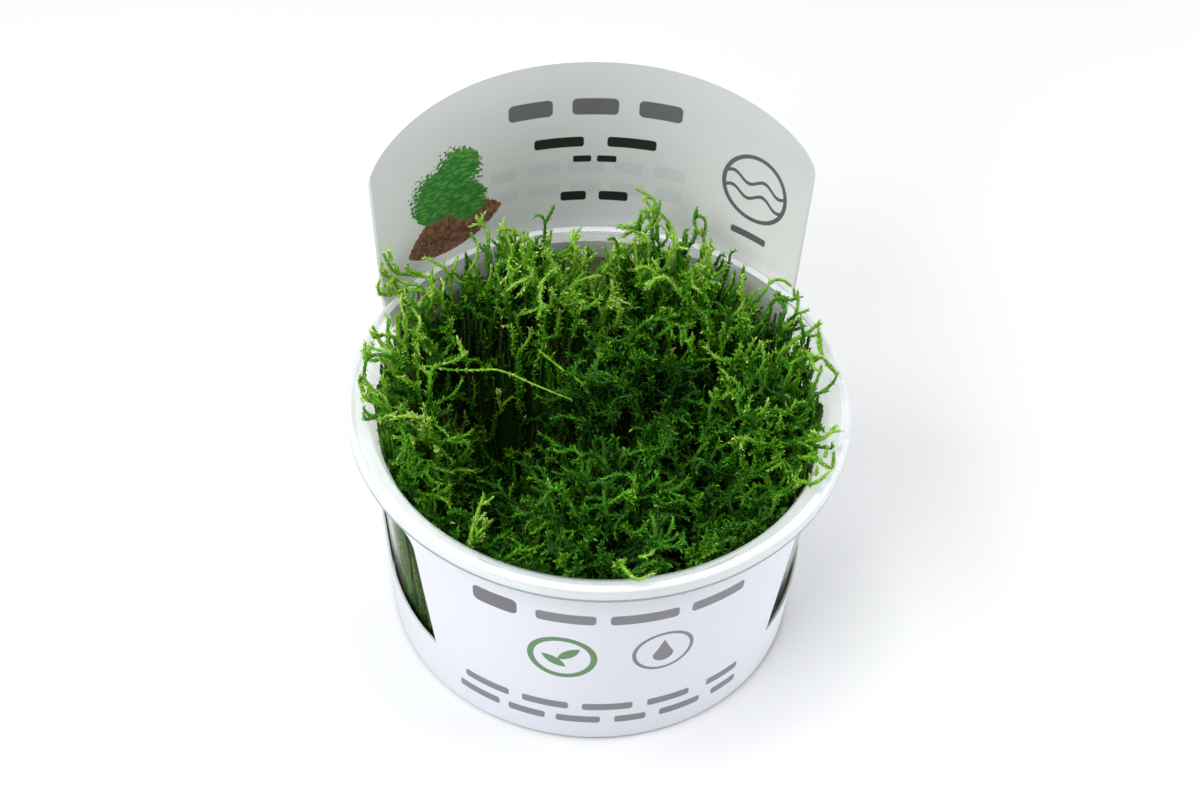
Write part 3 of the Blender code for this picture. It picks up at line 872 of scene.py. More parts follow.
# hollows between the tufts: middle, radius and depth in millimetres
hollows = [
    ((-24.0, 13.5), 8.5, 36.0), ((-14.0, 12.5), 7.0, 30.0), ((-23.0, 2.0), 9.5, 34.0),
    ((-21.5, -9.0), 8.5, 30.0), ((-21.0, -18.5), 6.5, 25.0), ((-15.5, -30.0), 5.0, 22.0),
    ((1.8, 38.5), 9.0, 22.0), ((-17.5, 38.0), 3.5, 10.0), ((35.5, 27.0), 6.5, 14.0),
    ((-38.5, 23.0), 3.0, 5.0), ((1.0, -8.0), 5.5, 11.0), ((11.5, -31.0), 5.5, 10.0),
    ((6.0, 20.0), 4.5, 8.0), ((23.0, 8.0), 4.5, 7.0), ((14.0, -19.0), 4.0, 9.0),
]
tuftNames = list(tufts)
bulky = 1.12    # the front and middle tufts are of thicker shoots
tuftMiddles, tuftTops, tuftLeans, tuftReaches, tuftUpright, tuftLight = (
    np.array([tufts[name][key] for name in tuftNames])
    for key in ("middle", "top", "lean", "reach", "upright", "light"))
tuftMiddles, tuftTops, tuftReaches = tuftMiddles * mm, tuftTops * mm, tuftReaches * mm
tuftBulk = np.array([bulky if "front" in name or name == "moss_middle" else 1.0 for name in tuftNames])
chance = np.random.default_rng(moss["seed"])


def canopy(plan):
    # height of the tips over each place, the tuft it belongs to and the light painted into its colour
    away = np.linalg.norm(plan[:, None, :] - tuftMiddles[None], axis=2)
    nearest = np.sort(away, axis=1)
    weight = np.exp(-(away - nearest[:, :1]) / moss["blend"])
    weight /= weight.sum(1, keepdims=True)
    height = weight @ tuftTops - moss["valley"] * smoothStep(nearest[:, 0] / nearest[:, 1], 0.6, 1.0)
    scale = moss["lumpScale"]
    height += moss["lump"] * np.array([noise.noise(Vector((x * scale, y * scale, 3.0))) for x, y in plan])
    drop = np.zeros(len(plan))
    for middle, radius, depth in hollows:
        share = np.linalg.norm(plan - np.array(middle) * mm, axis=1) / (radius * mm)
        drop = np.maximum(drop, depth * mm * (1.0 - smoothStep(share, 0.70, 1.25)))
    low = moss["ground"] + moss["hollowFloor"]
    height = np.maximum(height - drop, low + 0.15 * (height - low))
    return height, away.argmin(1), weight @ tuftLight


def scatter(step):
    # feet on a shaken hexagonal grid
    count = int(moss["spread"] / step) + 2
    rows = [((i + 0.5 * (j % 2)) * step, j * step * 0.87)
            for j in range(-count * 2, count * 2) for i in range(-count * 2, count * 2)]
    plan = np.array(rows) + chance.uniform(-0.42, 0.42, (len(rows), 2)) * step
    limit = moss["spread"] - moss["backGap"] * smoothStep(plan[:, 1], 5 * mm, 25 * mm)
    return plan[np.linalg.norm(plan, axis=1) < limit]


def keepInside(points, over):
    # points (shoots, steps, 3); over: how far from the cup's axis each shoot may reach
    flat = np.linalg.norm(points[..., :2], axis=2)
    z = points[..., 2]
    clear, widest = moss["lipClear"], moss["widest"]
    wall = np.minimum(innerRadius(z) - moss["wallClear"], widest)
    past = (flat > moss["crossFrom"]) & (z > clear - 0.4 * mm)
    crossed = np.maximum.accumulate(past, axis=1) & (over[:, None] > moss["crossReach"])
    limit = np.where(crossed, over[:, None], wall)
    soft = 2.0 * mm
    start = limit - soft
    squeezed = start + soft * (1 - np.exp(-np.maximum(flat - start, 0) / soft))
    new = np.where(flat > start, squeezed, flat)
    made = points.copy()
    made[..., :2] *= (new / np.maximum(flat, 1e-6))[..., None]
    made[..., 2] = np.where(crossed & (new > widest), np.maximum(z, clear), z)
    made[..., 2] = np.maximum(made[..., 2], moss["ground"])
    return made


def uniform(pair, count):
    return chance.uniform(pair[0], pair[1], count)


def crownShoots(plan, crown, belowTips):
    # the leafy upper part of each shoot, placed so that its highest point is near the canopy
    number = len(plan)
    height, owner, light = canopy(plan)
    s = np.linspace(0, 1, moss["crownPoints"])[None]
    lengths = np.minimum(uniform(crown, number), height - moss["ground"] - 3 * mm)
    outward = np.arctan2(plan[:, 1], plan[:, 0])
    fromTuft = plan - tuftMiddles[owner]
    spread = np.arctan2(fromTuft[:, 1], fromTuft[:, 0])
    lean = tuftLeans[owner] * smoothStep(np.linalg.norm(plan, axis=1), 12 * mm, 40 * mm)
    aimX = lean * np.cos(outward) + 0.16 * np.cos(spread) + chance.normal(0, 0.13, number)
    aimY = lean * np.sin(outward) + 0.16 * np.sin(spread) + chance.normal(0, 0.13, number)
    upright = tuftUpright[owner]
    style = chance.random(number)
    straight = style < upright
    arching = style < upright + 0.6 * (1 - upright)
    curl, late = (np.select([straight, arching], ranges[:2], ranges[2]) for ranges in (
        [uniform(one[key], number) for one in styles.values()] for key in ("curl", "late")))
    bendShare = np.clip((s - late[:, None]) / (1 - late[:, None]), 0, 1) ** 1.2
    wiggle = (uniform((0.20, 0.55), number)[:, None]
              * np.sin(s * uniform((9, 22), number)[:, None] + uniform((0, math.tau), number)[:, None]))
    leaning = np.clip(np.hypot(aimX, aimY), 0, 0.6)[:, None] * (0.5 + 0.7 * s)
    tilt = leaning + curl[:, None] * bendShare + wiggle
    turn = np.arctan2(aimY, aimX) + chance.normal(0, 0.8, number)
    heading = (turn[:, None] + chance.normal(0, 1.2, number)[:, None] * s
               + 0.7 * np.sin(s * 13 + uniform((0, math.tau), number)[:, None]))
    direction = np.stack([np.sin(tilt) * np.cos(heading), np.sin(tilt) * np.sin(heading),
                          np.cos(tilt)], axis=2)
    moves = direction[:, :-1] * (lengths / (moss["crownPoints"] - 1))[:, None, None]
    path = np.concatenate([np.zeros((number, 1, 3)), np.cumsum(moves, axis=1)], axis=1)
    path[..., :2] += plan[:, None, :]
    rise = height + uniform(belowTips, number) - path[..., 2].max(1)
    path[..., 2] += np.maximum(rise, moss["ground"] + 2 * mm)[:, None]
    return {"path": keepInside(path, tuftReaches[owner]), "owner": owner, "height": height,
            "light": light, "reach": tuftReaches[owner], "plan": plan}


def bareStems(shoots):
    # from the gel up to where each shoot turns leafy
    count = moss["stemPoints"]
    plan, tops = shoots["plan"], shoots["path"][:, 0]
    share = np.linspace(0, 1, count)[None, :, None]
    foot = np.concatenate([plan * 0.95, np.full((len(plan), 1), moss["ground"])], axis=1)
    line = foot[:, None, :] * (1 - share) + tops[:, None, :] * share
    line[..., :2] += chance.normal(0, 0.4 * mm, (len(plan), count, 2)) * np.sin(share * math.pi)
    flat = np.linalg.norm(line[..., :2], axis=2)
    limit = innerRadius(line[..., 2]) - 0.7 * mm
    line[..., :2] *= np.where(flat > limit, limit / np.maximum(flat, 1e-6), 1.0)[..., None]
    return line


def sideShoots(path, parent, where, opening, lengths, reach):
    # short shoots that leave their parents at a share of the way and curve upward
    last = path.shape[1] - 1
    index = np.minimum((where * last).astype(int), last - 1)
    part = (where * last - index)[:, None]
    here, onward = path[parent, index], path[parent, index + 1]
    along = (onward - here) / (np.linalg.norm(onward - here, axis=1)[:, None] + 1e-9)
    aside = np.cross(along, chance.normal(0, 1, (len(parent), 3)))
    aside /= np.linalg.norm(aside, axis=1)[:, None] + 1e-9
    heading = along * np.cos(opening)[:, None] + aside * np.sin(opening)[:, None]
    axis = chance.normal(0, 1, (len(parent), 3))
    axis /= np.linalg.norm(axis, axis=1)[:, None]
    amount = chance.normal(0, 0.42, len(parent))[:, None]
    steps = moss["twigSteps"]
    points = [here + (onward - here) * part]
    for _ in range(steps):
        points.append(points[-1] + heading * (lengths / steps)[:, None])
        heading = heading + np.cross(axis, heading) * amount + np.array([0, 0, 0.12])
        heading /= np.linalg.norm(heading, axis=1)[:, None]
    return keepInside(np.stack(points, axis=1), reach[parent])


def curveThrough(points, step):
    # a smooth line through points in millimetres
    p = np.array(points) * mm
    p = np.concatenate([[2 * p[0] - p[1]], p, [2 * p[-1] - p[-2]]])
    made = []
    for i in range(1, len(p) - 2):
        length = np.linalg.norm(p[i + 1] - p[i])
        for t in np.linspace(0, 1, max(2, int(length / step) + 1), endpoint=False):
            a = 2 * p[i] + (p[i + 1] - p[i - 1]) * t
            b = (2 * p[i - 1] - 5 * p[i] + 4 * p[i + 1] - p[i + 2]) * t * t
            c = (3 * p[i] - p[i - 1] - 3 * p[i + 1] + p[i + 2]) * t ** 3
            made.append(0.5 * (a + b + c))
    made.append(p[-2])
    return np.array(made)


# single shoots that stand out: tuft, points in millimetres from root to tip, share of leaves;
# they were picked on the photo and placed with the camera above, at heights that are guesses
strays = [
    ("moss_back_right", [(2.9, 29.6, 57.7), (5.5, 31.0, 61.7), (7.1, 32.4, 65.7), (10.2, 32.8, 69.7),
                         (12.7, 34.2, 72.2), (13.3, 35.6, 74.7), (13.1, 36.4, 76.2), (9.7, 37.6, 78.2)], 1.0),
    ("moss_back_right", [(13.4, 35.5, 73.7), (12.0, 34.5, 74.7), (10.3, 33.7, 75.7)], 0.8),
    ("moss_back_right", [(12.3, 34.8, 72.7), (11.1, 34.9, 72.7), (9.1, 33.8, 70.7), (7.3, 33.8, 69.7)], 1.0),
    ("moss_back_right", [(17.6, 30.1, 64.7), (17.6, 32.4, 68.7), (16.5, 35.1, 70.7),
                         (14.8, 35.3, 72.7)], 1.0),
    ("moss_back_right", [(25.2, 29.1, 61.7), (24.0, 31.9, 64.7), (23.7, 34.3, 66.7),
                         (23.2, 34.9, 69.2)], 1.0),
    ("moss_back_left", [(-32.7, 28.7, 62.7), (-36.5, 30.4, 62.7), (-39.3, 29.5, 64.2),
                        (-40.8, 27.4, 68.5), (-41.8, 25.9, 73.0)], 0.8),
    ("moss_back_left", [(-33.9, 25.8, 62.2), (-38.2, 26.6, 61.7), (-42.0, 25.5, 62.0),
                        (-43.2, 23.4, 65.7), (-42.7, 24.2, 67.5)], 0.8),
    ("moss_back_left", [(-34.5, 26.6, 62.7), (-37.3, 27.4, 63.2), (-40.4, 27.8, 64.7),
                        (-42.1, 25.5, 67.7), (-42.2, 25.3, 71.0)], 0.8),
    ("moss_back_left", [(-40.4, 27.8, 64.5), (-40.6, 27.2, 62.2), (-38.4, 25.3, 61.2),
                        (-36.0, 24.8, 60.7)], 0.8),
    ("moss_left", [(-35.2, 7.8, 58.7), (-28.5, 8.4, 57.2), (-23.3, 8.7, 56.7), (-19.9, 8.6, 56.7),
                   (-16.3, 7.7, 55.7), (-12.8, 6.3, 54.7), (-9.1, 4.0, 54.7), (-5.2, 2.6, 53.7)], 0.4),
    ("moss_middle", [(-2.2, 5.5, 54.2), (-6.1, 8.4, 55.7), (-8.8, 10.6, 56.7), (-11.1, 12.6, 57.7)], 0.6),
    ("moss_front_left", [(-27.1, -32.0, 48.7), (-26.4, -30.2, 52.7), (-25.1, -27.3, 55.2),
                         (-24.0, -25.9, 58.2)], 1.0),
    ("moss_front_left", [(-25.6, -30.4, 51.7), (-24.5, -30.2, 53.2), (-22.9, -29.5, 54.7)], 1.0),
    ("moss_front_middle", [(1.0, -41.4, 55.7), (1.1, -45.0, 58.6), (2.4, -47.4, 59.0),
                           (3.8, -48.2, 58.9), (6.0, -48.0, 60.0)], 1.0),
    ("moss_right", [(37.6, -18.7, 57.7), (40.0, -21.2, 60.7), (41.3, -22.8, 60.7), (42.8, -23.6, 60.3),
                    (43.2, -23.0, 61.7), (43.1, -22.7, 63.7)], 1.0),
    ("moss_right", [(36.6, -24.0, 57.0), (38.9, -26.1, 58.9), (40.3, -26.5, 60.3), (42.0, -25.6, 61.5)], 1.0),
    ("moss_right", [(38.0, -14.0, 57.0), (40.0, -15.2, 58.9), (42.2, -16.2, 60.7), (43.7, -15.5, 61.7),
                    (45.7, -15.3, 61.7)], 0.9),
    ("moss_right_back", [(38.0, 15.0, 58.5), (40.4, 16.4, 60.7), (41.4, 18.1, 63.2),
                         (41.1, 18.4, 66.7)], 1.0),
    ("moss_right_back", [(39.5, 12.0, 58.5), (42.6, 12.3, 60.7), (43.9, 12.5, 62.2),
                         (45.3, 12.1, 63.7)], 1.0),
    ("moss_left", [(-39.0, 10.5, 57.0), (-40.7, 11.5, 59.7), (-42.8, 12.6, 61.2), (-44.3, 13.7, 64.7)], 1.0),
    ("moss_left", [(-39.5, 11.5, 57.5), (-41.3, 12.5, 60.7), (-41.4, 14.2, 62.7), (-41.2, 13.8, 66.7)], 1.0),
    ("moss_left", [(-41.5, -1.5, 56.5), (-44.8, -1.0, 59.2), (-45.0, -0.1, 61.2), (-46.3, 0.6, 64.2)], 1.0),
    ("moss_left", [(-38.0, 13.5, 58.0), (-39.4, 14.4, 60.7), (-39.4, 15.5, 62.7), (-39.5, 15.6, 65.7)], 1.0),
]


class Guides:
    # guide lines of one tuft, gathered before they become a mesh
    def __init__(self):
        self.points, self.edges = [], []
        self.values = {key: [] for key in ("thick", "tip", "tone", "cover", "size", "deep", "old")}

    def add(self, line, **values):
        first = len(self.points)
        self.points.extend(line)
        self.edges.extend((first + i, first + i + 1) for i in range(len(line) - 1))
        for key, kept in self.values.items():
            kept.extend(np.broadcast_to(values.get(key, 0.0), len(line)))

    def mesh(self, name):
        made = bpy.data.meshes.new(name)
        made.from_pydata([tuple(p) for p in self.points], self.edges, [])
        for key, value in self.values.items():
            layer = made.attributes.new(key, "FLOAT", "POINT")
            layer.data.foreach_set("value", np.array(value, dtype=np.float32))
        return made


def depthBelow(line, top, light):
    # painted shade: 0 at the tips to 1 deep down, where it is reached sooner in a darker tuft
    return np.clip((top + 1.0 * mm - line[:, 2]) / ((6 + 12 * light) * mm), 0, 1)


def addShoots(guides, shoots, forks, sides, thick):
    # one layer of shoots with their bare stems, forked tips and side shoots
    path, owner, height, light = (shoots[key] for key in ("path", "owner", "height", "light"))
    number, count = path.shape[:2]
    stems = bareStems(shoots)
    # painted light and shade: each shoot's tone is the light given to its tuft, times a random share
    litTones = np.clip(light * (0.62 + 0.68 * uniform((0, 1), number) ** 1.4), 0, 1.1)
    s = np.linspace(0, 1, count)
    bulk = tuftBulk[owner]
    for i in range(number):
        kept = guides[tuftNames[owner[i]]]
        kept.add(stems[i], thick=moss["stem"] * uniform((0.6, 1.3), 1), tone=litTones[i], cover=0.06,
                 size=0.7, deep=depthBelow(stems[i], height[i], light[i]), old=1.0)
        kept.add(path[i], thick=thick * bulk[i] * (1 - 0.45 * s ** 3), tip=s ** 2, tone=litTones[i],
                 cover=np.minimum(1, 0.35 + 3 * s), size=bulk[i] * (1.0 - 0.30 * s ** 4),
                 old=np.clip(0.6 - 2.5 * s, 0, 1),
                 deep=depthBelow(path[i], height[i], light[i]))
    # how many, where on the shoot, opening in degrees, length in millimetres, share of its thickness
    for many, start, opening, lengths, share in (
            (forks, (0.62, 0.95), (22, 50), (2.5, 6.0), 0.95),
            (sides, (0.10, 0.90), (28, 60), (2.0, 6.5), 0.88)):
        parent = np.repeat(np.arange(number), chance.integers(many[0], many[1] + 1, number))
        total = len(parent)
        where = uniform(start, total)
        twigs = sideShoots(path, parent, where, np.radians(uniform(opening, total)),
                           uniform(lengths, total) * mm, shoots["reach"])
        s = np.linspace(0, 1, twigs.shape[1])
        for line, i, along in zip(twigs, parent, where):
            guides[tuftNames[owner[i]]].add(
                line, thick=thick * share * bulk[i] * (1 - 0.45 * s ** 3),
                tip=along ** 2 * 0.6 + 0.4 * s ** 2, tone=litTones[i], cover=1.0,
                size=bulk[i] * (0.95 - 0.25 * s ** 3), deep=depthBelow(line, height[i], light[i]))


def addLooseStems(guides):
    # bare old stems that show in the hollows and through the side of the cup
    plan = scatter(moss["stemSpacing"])
    height, owner, light = canopy(plan)
    away = [np.linalg.norm(plan - np.array(middle) * mm, axis=1) / mm - radius
            for middle, radius, _ in hollows[:5]]
    shown = (np.min(away, axis=0) < 6.0) | (np.linalg.norm(plan, axis=1) > 38 * mm)
    plan, height, owner, light = plan[shown], height[shown], owner[shown], light[shown]
    tops = np.maximum(height - uniform((7, 16), len(plan)) * mm, moss["ground"] + 4 * mm)
    near = np.concatenate([plan * 1.012, tops[:, None]], axis=1)
    stems = bareStems({"plan": plan, "path": near[:, None, :]})
    for i, line in enumerate(stems):
        guides[tuftNames[owner[i]]].add(
            line, thick=moss["stem"] * uniform((0.7, 1.5), 1), tone=chance.random(), cover=0.50,
            size=0.8, old=1.0, deep=0.8 * depthBelow(line, height[i], light[i]))


def addWallStems(guides):
    # old stems pressed against the cup where the sleeve leaves it open
    count = moss["wallStemPoints"]
    for side in (-1, 1):
        for turn in np.radians(np.arange(*moss["wallStems"])):
            turn = turn + float(chance.normal(0, 0.006))
            bearing = -0.5 * math.pi + side * turn
            plan = np.array([[math.cos(bearing), math.sin(bearing)]]) * 40 * mm
            height, owner, _ = canopy(plan)
            z = np.linspace(moss["ground"], height[0] - float(uniform((2, 9), 1)[0]) * mm, count)
            sway = np.cumsum(chance.normal(0, 0.011, count))
            sway += float(chance.normal(0, 0.03)) * np.linspace(0, 1, count)
            radius = innerRadius(z) - float(uniform((0.45, 0.95), 1)[0]) * mm
            line = np.stack([radius * np.cos(bearing + sway), radius * np.sin(bearing + sway), z], axis=1)
            leafy = float(chance.random()) < 0.4
            thick = moss["stem"] * float(uniform((0.8, 1.9), 1)[0])
            tone = float(uniform((0.3, 1.0), 1)[0])
            guides[tuftNames[owner[0]]].add(line, thick=thick, tone=tone, cover=0.7 if leafy else 0.15,
                                            size=0.6, deep=0.0 if leafy else 0.15,
                                            old=0.0 if leafy else 1.0)


def addStrays(guides):
    for name, points, cover in strays:
        # each starts a little way down inside its tuft
        first, home = np.array(points[0]), np.array(tufts[name]["middle"])
        root = (*(first[:2] + (home - first[:2]) * 0.2), first[2] - 7.0)
        line = curveThrough([root] + points, 1.2 * mm)
        s = np.linspace(0, 1, len(line))
        full = 1.0 if cover > 0.7 else 0.6
        guides[name].add(line, thick=moss["thick"] * full * (1.05 - 0.45 * s ** 3), tip=0.5 + 0.5 * s,
                         tone=0.95, cover=cover, size=(1.0 - 0.3 * s ** 3) * (0.4 + 0.6 * full))
        if cover < 0.7 or len(line) < 5:
            continue
        many = 3    # side shoots on each
        where = np.linspace(0.45, 0.9, many)
        twigs = sideShoots(line[None], np.zeros(many, int), where, np.radians(uniform((30, 60), many)),
                           uniform((2.0, 4.0), many) * mm, np.array([tufts[name]["reach"] * mm]))
        for twig in twigs:
            s = np.linspace(0, 1, len(twig))
            guides[name].add(twig, thick=moss["thick"] * 0.85 * (1 - 0.45 * s ** 3), tip=0.6 + 0.4 * s,
                             tone=0.95, cover=1.0, size=0.85 - 0.25 * s ** 3)


def growGuides():
    guides = {name: Guides() for name in tuftNames}
    tall = crownShoots(scatter(moss["spacing"]), moss["crown"], (-4.0 * mm, 3.5 * mm))
    short = crownShoots(scatter(moss["fillSpacing"]), moss["fillCrown"], (-15.0 * mm, -5.0 * mm))
    # painted shade: the shorter shoots under the tall ones are coloured darker
    short["light"] = short["light"] * 0.7
    addShoots(guides, tall, (0, 2), (0, 2), moss["thick"])
    addShoots(guides, short, (0, 1), (0, 2), moss["thick"] * 0.85)
    # a curtain of shoots against the wall, where the camera looks over the moss; painted shade makes it dark
    plan = scatter(moss["curtainSpacing"])
    plan = plan[(np.linalg.norm(plan, axis=1) > 35 * mm) & (plan[:, 1] > -6 * mm)]
    curtain = crownShoots(plan, moss["crown"], (-9.0 * mm, -1.0 * mm))
    curtain["light"] = curtain["light"] * 0.88
    addShoots(guides, curtain, (0, 1), (0, 2), moss["thick"] * 0.9)
    addLooseStems(guides)
    addWallStems(guides)
    addStrays(guides)
    print("moss shoots:", len(tall["plan"]), "tall,", len(short["plan"]), "short")
    return guides


def leafMesh():
    # one pointed leaf, folded along its middle, standing along +Z
    length, width = moss["leafLength"], moss["leafWidth"]
    mesh = bpy.data.meshes.new("leafBlade")
    mesh.from_pydata([(0, 0, 0), (0.5 * width, 0.22 * width, 0.45 * length), (0, 0, length),
                      (-0.5 * width, 0.22 * width, 0.45 * length)], [], [(0, 1, 2), (0, 2, 3)])
    layer = mesh.attributes.new("along", "FLOAT", "POINT")
    layer.data.foreach_set("value", np.array([0.0, 0.4, 1.0, 0.4], dtype=np.float32))
    return mesh


def leafyTree():
    tree = bpy.data.node_groups.new("leafyShoots", "GeometryNodeTree")
    tree.interface.new_socket("Geometry", in_out="OUTPUT", socket_type="NodeSocketGeometry")
    for label, sort, default in (("Geometry", "Geometry", None), ("Leaf", "Object", None),
                                 ("Leaf Spacing", "Float", 0.0003), ("Leaf Tilt", "Float", 0.7),
                                 ("Seed", "Int", 0), ("Material", "Material", None)):
        socket = tree.interface.new_socket(label, in_out="INPUT", socket_type="NodeSocket" + sort)
        if default is not None:
            socket.default_value = default
    given = tree.nodes.new("NodeGroupInput").outputs
    result = tree.nodes.new("NodeGroupOutput").inputs

    def named(label):
        return addNode(tree, "GeometryNodeInputNamedAttribute", {"Name": label}, data_type="FLOAT").outputs[0]

    def randomValue(low, high, salt):
        seed = maths(tree, "ADD", given["Seed"], float(salt))
        made = addNode(tree, "FunctionNodeRandomValue", data_type="FLOAT")
        feed(tree, made.inputs[2], low)
        feed(tree, made.inputs[3], high)
        feed(tree, made.inputs["Seed"], seed)
        return made.outputs[1]

    lines = addNode(tree, "GeometryNodeMeshToCurve", {"Mesh": given["Geometry"]}).outputs[0]
    ring = addNode(tree, "GeometryNodeCurvePrimitiveCircle", {"Resolution": moss["stemSides"]})
    feed(tree, ring.inputs["Radius"], 1.0)
    stem = addNode(tree, "GeometryNodeCurveToMesh", {"Curve": lines, "Profile Curve": ring.outputs[0],
                                                     "Scale": named("thick"), "Fill Caps": False})
    smoothStem = addNode(tree, "GeometryNodeSetShadeSmooth", {"Geometry": stem.outputs[0]})
    spots = addNode(tree, "GeometryNodeCurveToPoints", {"Curve": lines, "Length": given["Leaf Spacing"]},
                    mode="LENGTH")
    upright = addNode(tree, "FunctionNodeAlignRotationToVector", {"Vector": spots.outputs["Tangent"]},
                      axis="Z")
    index = addNode(tree, "GeometryNodeInputIndex").outputs[0]
    spin = maths(tree, "ADD", maths(tree, "MULTIPLY", index, math.radians(moss["leafTurn"])),
                 randomValue(-0.4, 0.4, 1))
    spun = addNode(tree, "FunctionNodeRotateRotation", {
        "Rotation": upright.outputs[0],
        "Rotate By": addNode(tree, "FunctionNodeAxisAngleToRotation", {
            "Axis": (0, 0, 1), "Angle": spin}).outputs[0]}, rotation_space="LOCAL")
    opening = maths(tree, "MULTIPLY", given["Leaf Tilt"], maths(
        tree, "SUBTRACT", randomValue(0.5, 1.6, 2), maths(tree, "MULTIPLY", named("tip"), 0.3)))
    tilted = addNode(tree, "FunctionNodeRotateRotation", {
        "Rotation": spun.outputs[0],
        "Rotate By": addNode(tree, "FunctionNodeAxisAngleToRotation", {
            "Axis": (1, 0, 0), "Angle": opening}).outputs[0]}, rotation_space="LOCAL")
    grows = addNode(tree, "FunctionNodeCompare", {0: randomValue(0.0, 1.0, 3), 1: named("cover")},
                    data_type="FLOAT", operation="LESS_THAN")
    leaf = addNode(tree, "GeometryNodeObjectInfo", {"Object": given["Leaf"], "As Instance": True})
    size = maths(tree, "MULTIPLY", named("size"), randomValue(0.75, 1.15, 4))
    leaves = addNode(tree, "GeometryNodeInstanceOnPoints", {
        "Points": spots.outputs["Points"], "Selection": grows.outputs[0],
        "Instance": leaf.outputs["Geometry"], "Rotation": tilted.outputs[0], "Scale": size})
    toned = addNode(tree, "GeometryNodeStoreNamedAttribute", {
        "Geometry": leaves.outputs[0], "Name": "leafTone", "Value": randomValue(0.02, 1.0, 5)},
        data_type="FLOAT", domain="INSTANCE")
    joined = addNode(tree, "GeometryNodeJoinGeometry")
    feed(tree, joined.inputs[0], toned.outputs[0])
    feed(tree, joined.inputs[0], smoothStem.outputs[0])
    real = addNode(tree, "GeometryNodeRealizeInstances", {"Geometry": joined.outputs[0]})
    dressed = addNode(tree, "GeometryNodeSetMaterial", {"Geometry": real.outputs[0],
                                                        "Material": given["Material"]})
    feed(tree, result["Geometry"], dressed.outputs[0])
    return tree


def setInputs(modifier, **values):
    for item in modifier.node_group.interface.items_tree:
        if item.in_out == "INPUT" and item.name.replace(" ", "") in values:
            modifier[item.identifier] = values[item.name.replace(" ", "")]


def ramp(tree, value, stops):
    made = addNode(tree, "ShaderNodeValToRGB", {"Fac": value})
    bar = made.color_ramp
    while len(bar.elements) < len(stops):
        bar.elements.new(0.5)
    for element, (where, colour) in zip(bar.elements, stops):
        element.position = where
        element.color = (*colour, 1)
    return made.outputs[0]


def mossMaterial():
    material, tree, shader, place = newMaterial("mossLeaf", Roughness=0.55, Specular_IOR_Level=0.22)

    def attribute(label):
        return addNode(tree, "ShaderNodeAttribute", attribute_name=label).outputs["Fac"]

    tip, tone, leafTone, along, deep, old = (attribute(label) for label in
                                             ("tip", "tone", "leafTone", "along", "deep", "old"))
    grain = useGroup(tree, fineGrain, Place=place, Scale=1500.0, Clouds=110.0)
    freshAndLit = maths(tree, "MULTIPLY", tone, maths(tree, "ADD", 0.70, maths(tree, "MULTIPLY", tip, 0.26)))
    freshAndLit = maths(tree, "ADD", freshAndLit, between(tree, leafTone, 0, 1, -0.12, 0.10))
    freshAndLit = maths(tree, "ADD", freshAndLit, between(tree, along, 0, 1, -0.05, 0.17))
    freshAndLit = maths(tree, "ADD", freshAndLit, between(tree, grain["Cloud"], 0.3, 0.7, -0.08, 0.08))
    # painted shade: darker the deeper below the tips
    freshAndLit = maths(tree, "SUBTRACT", freshAndLit, maths(tree, "MULTIPLY", deep, 0.38))
    # the body between the leaves is mottled too, like the bases of smaller leaves
    isBody = maths(tree, "GREATER_THAN", 0.01, leafTone)
    mottle = between(tree, grain["Grain"], 0.36, 0.64, -0.22, 0.18)
    freshAndLit = maths(tree, "ADD", freshAndLit, maths(tree, "MULTIPLY", isBody, mottle))
    green = ramp(tree, freshAndLit, ((0.0, (0.007, 0.034, 0.0008)), (0.25, (0.018, 0.108, 0.0018)),
                               (0.50, (0.065, 0.272, 0.004)), (0.75, (0.205, 0.455, 0.020)),
                               (1.0, (0.490, 0.690, 0.160))))
    kind = maths(tree, "FRACT", maths(tree, "MULTIPLY", tone, 7.3))
    kind = maths(tree, "ADD", kind, between(tree, grain["Grain"], 0.35, 0.65, -0.15, 0.15))
    stalk = ramp(tree, kind, ((0.0, (0.085, 0.048, 0.014)), (0.20, (0.150, 0.120, 0.032)),
                              (0.40, (0.110, 0.160, 0.024)), (0.80, (0.070, 0.200, 0.014)),
                              (1.0, (0.240, 0.310, 0.080))))
    aged = maths(tree, "MULTIPLY", old, isBody)
    # painted shade: bare stems deep down are mixed toward near black
    stalk = mixColour(tree, maths(tree, "MULTIPLY", deep, 0.75), stalk, (0.020, 0.030, 0.005, 1))
    feed(tree, shader.inputs["Base Color"], mixColour(tree, aged, green, stalk))
    # a few leaves are wet
    wet = maths(tree, "GREATER_THAN", leafTone, 0.93)
    feed(tree, shader.inputs["Roughness"], between(tree, wet, 0, 1, 0.58, 0.24))
    feed(tree, shader.inputs["Specular IOR Level"], between(tree, wet, 0, 1, 0.20, 0.45))
    return material


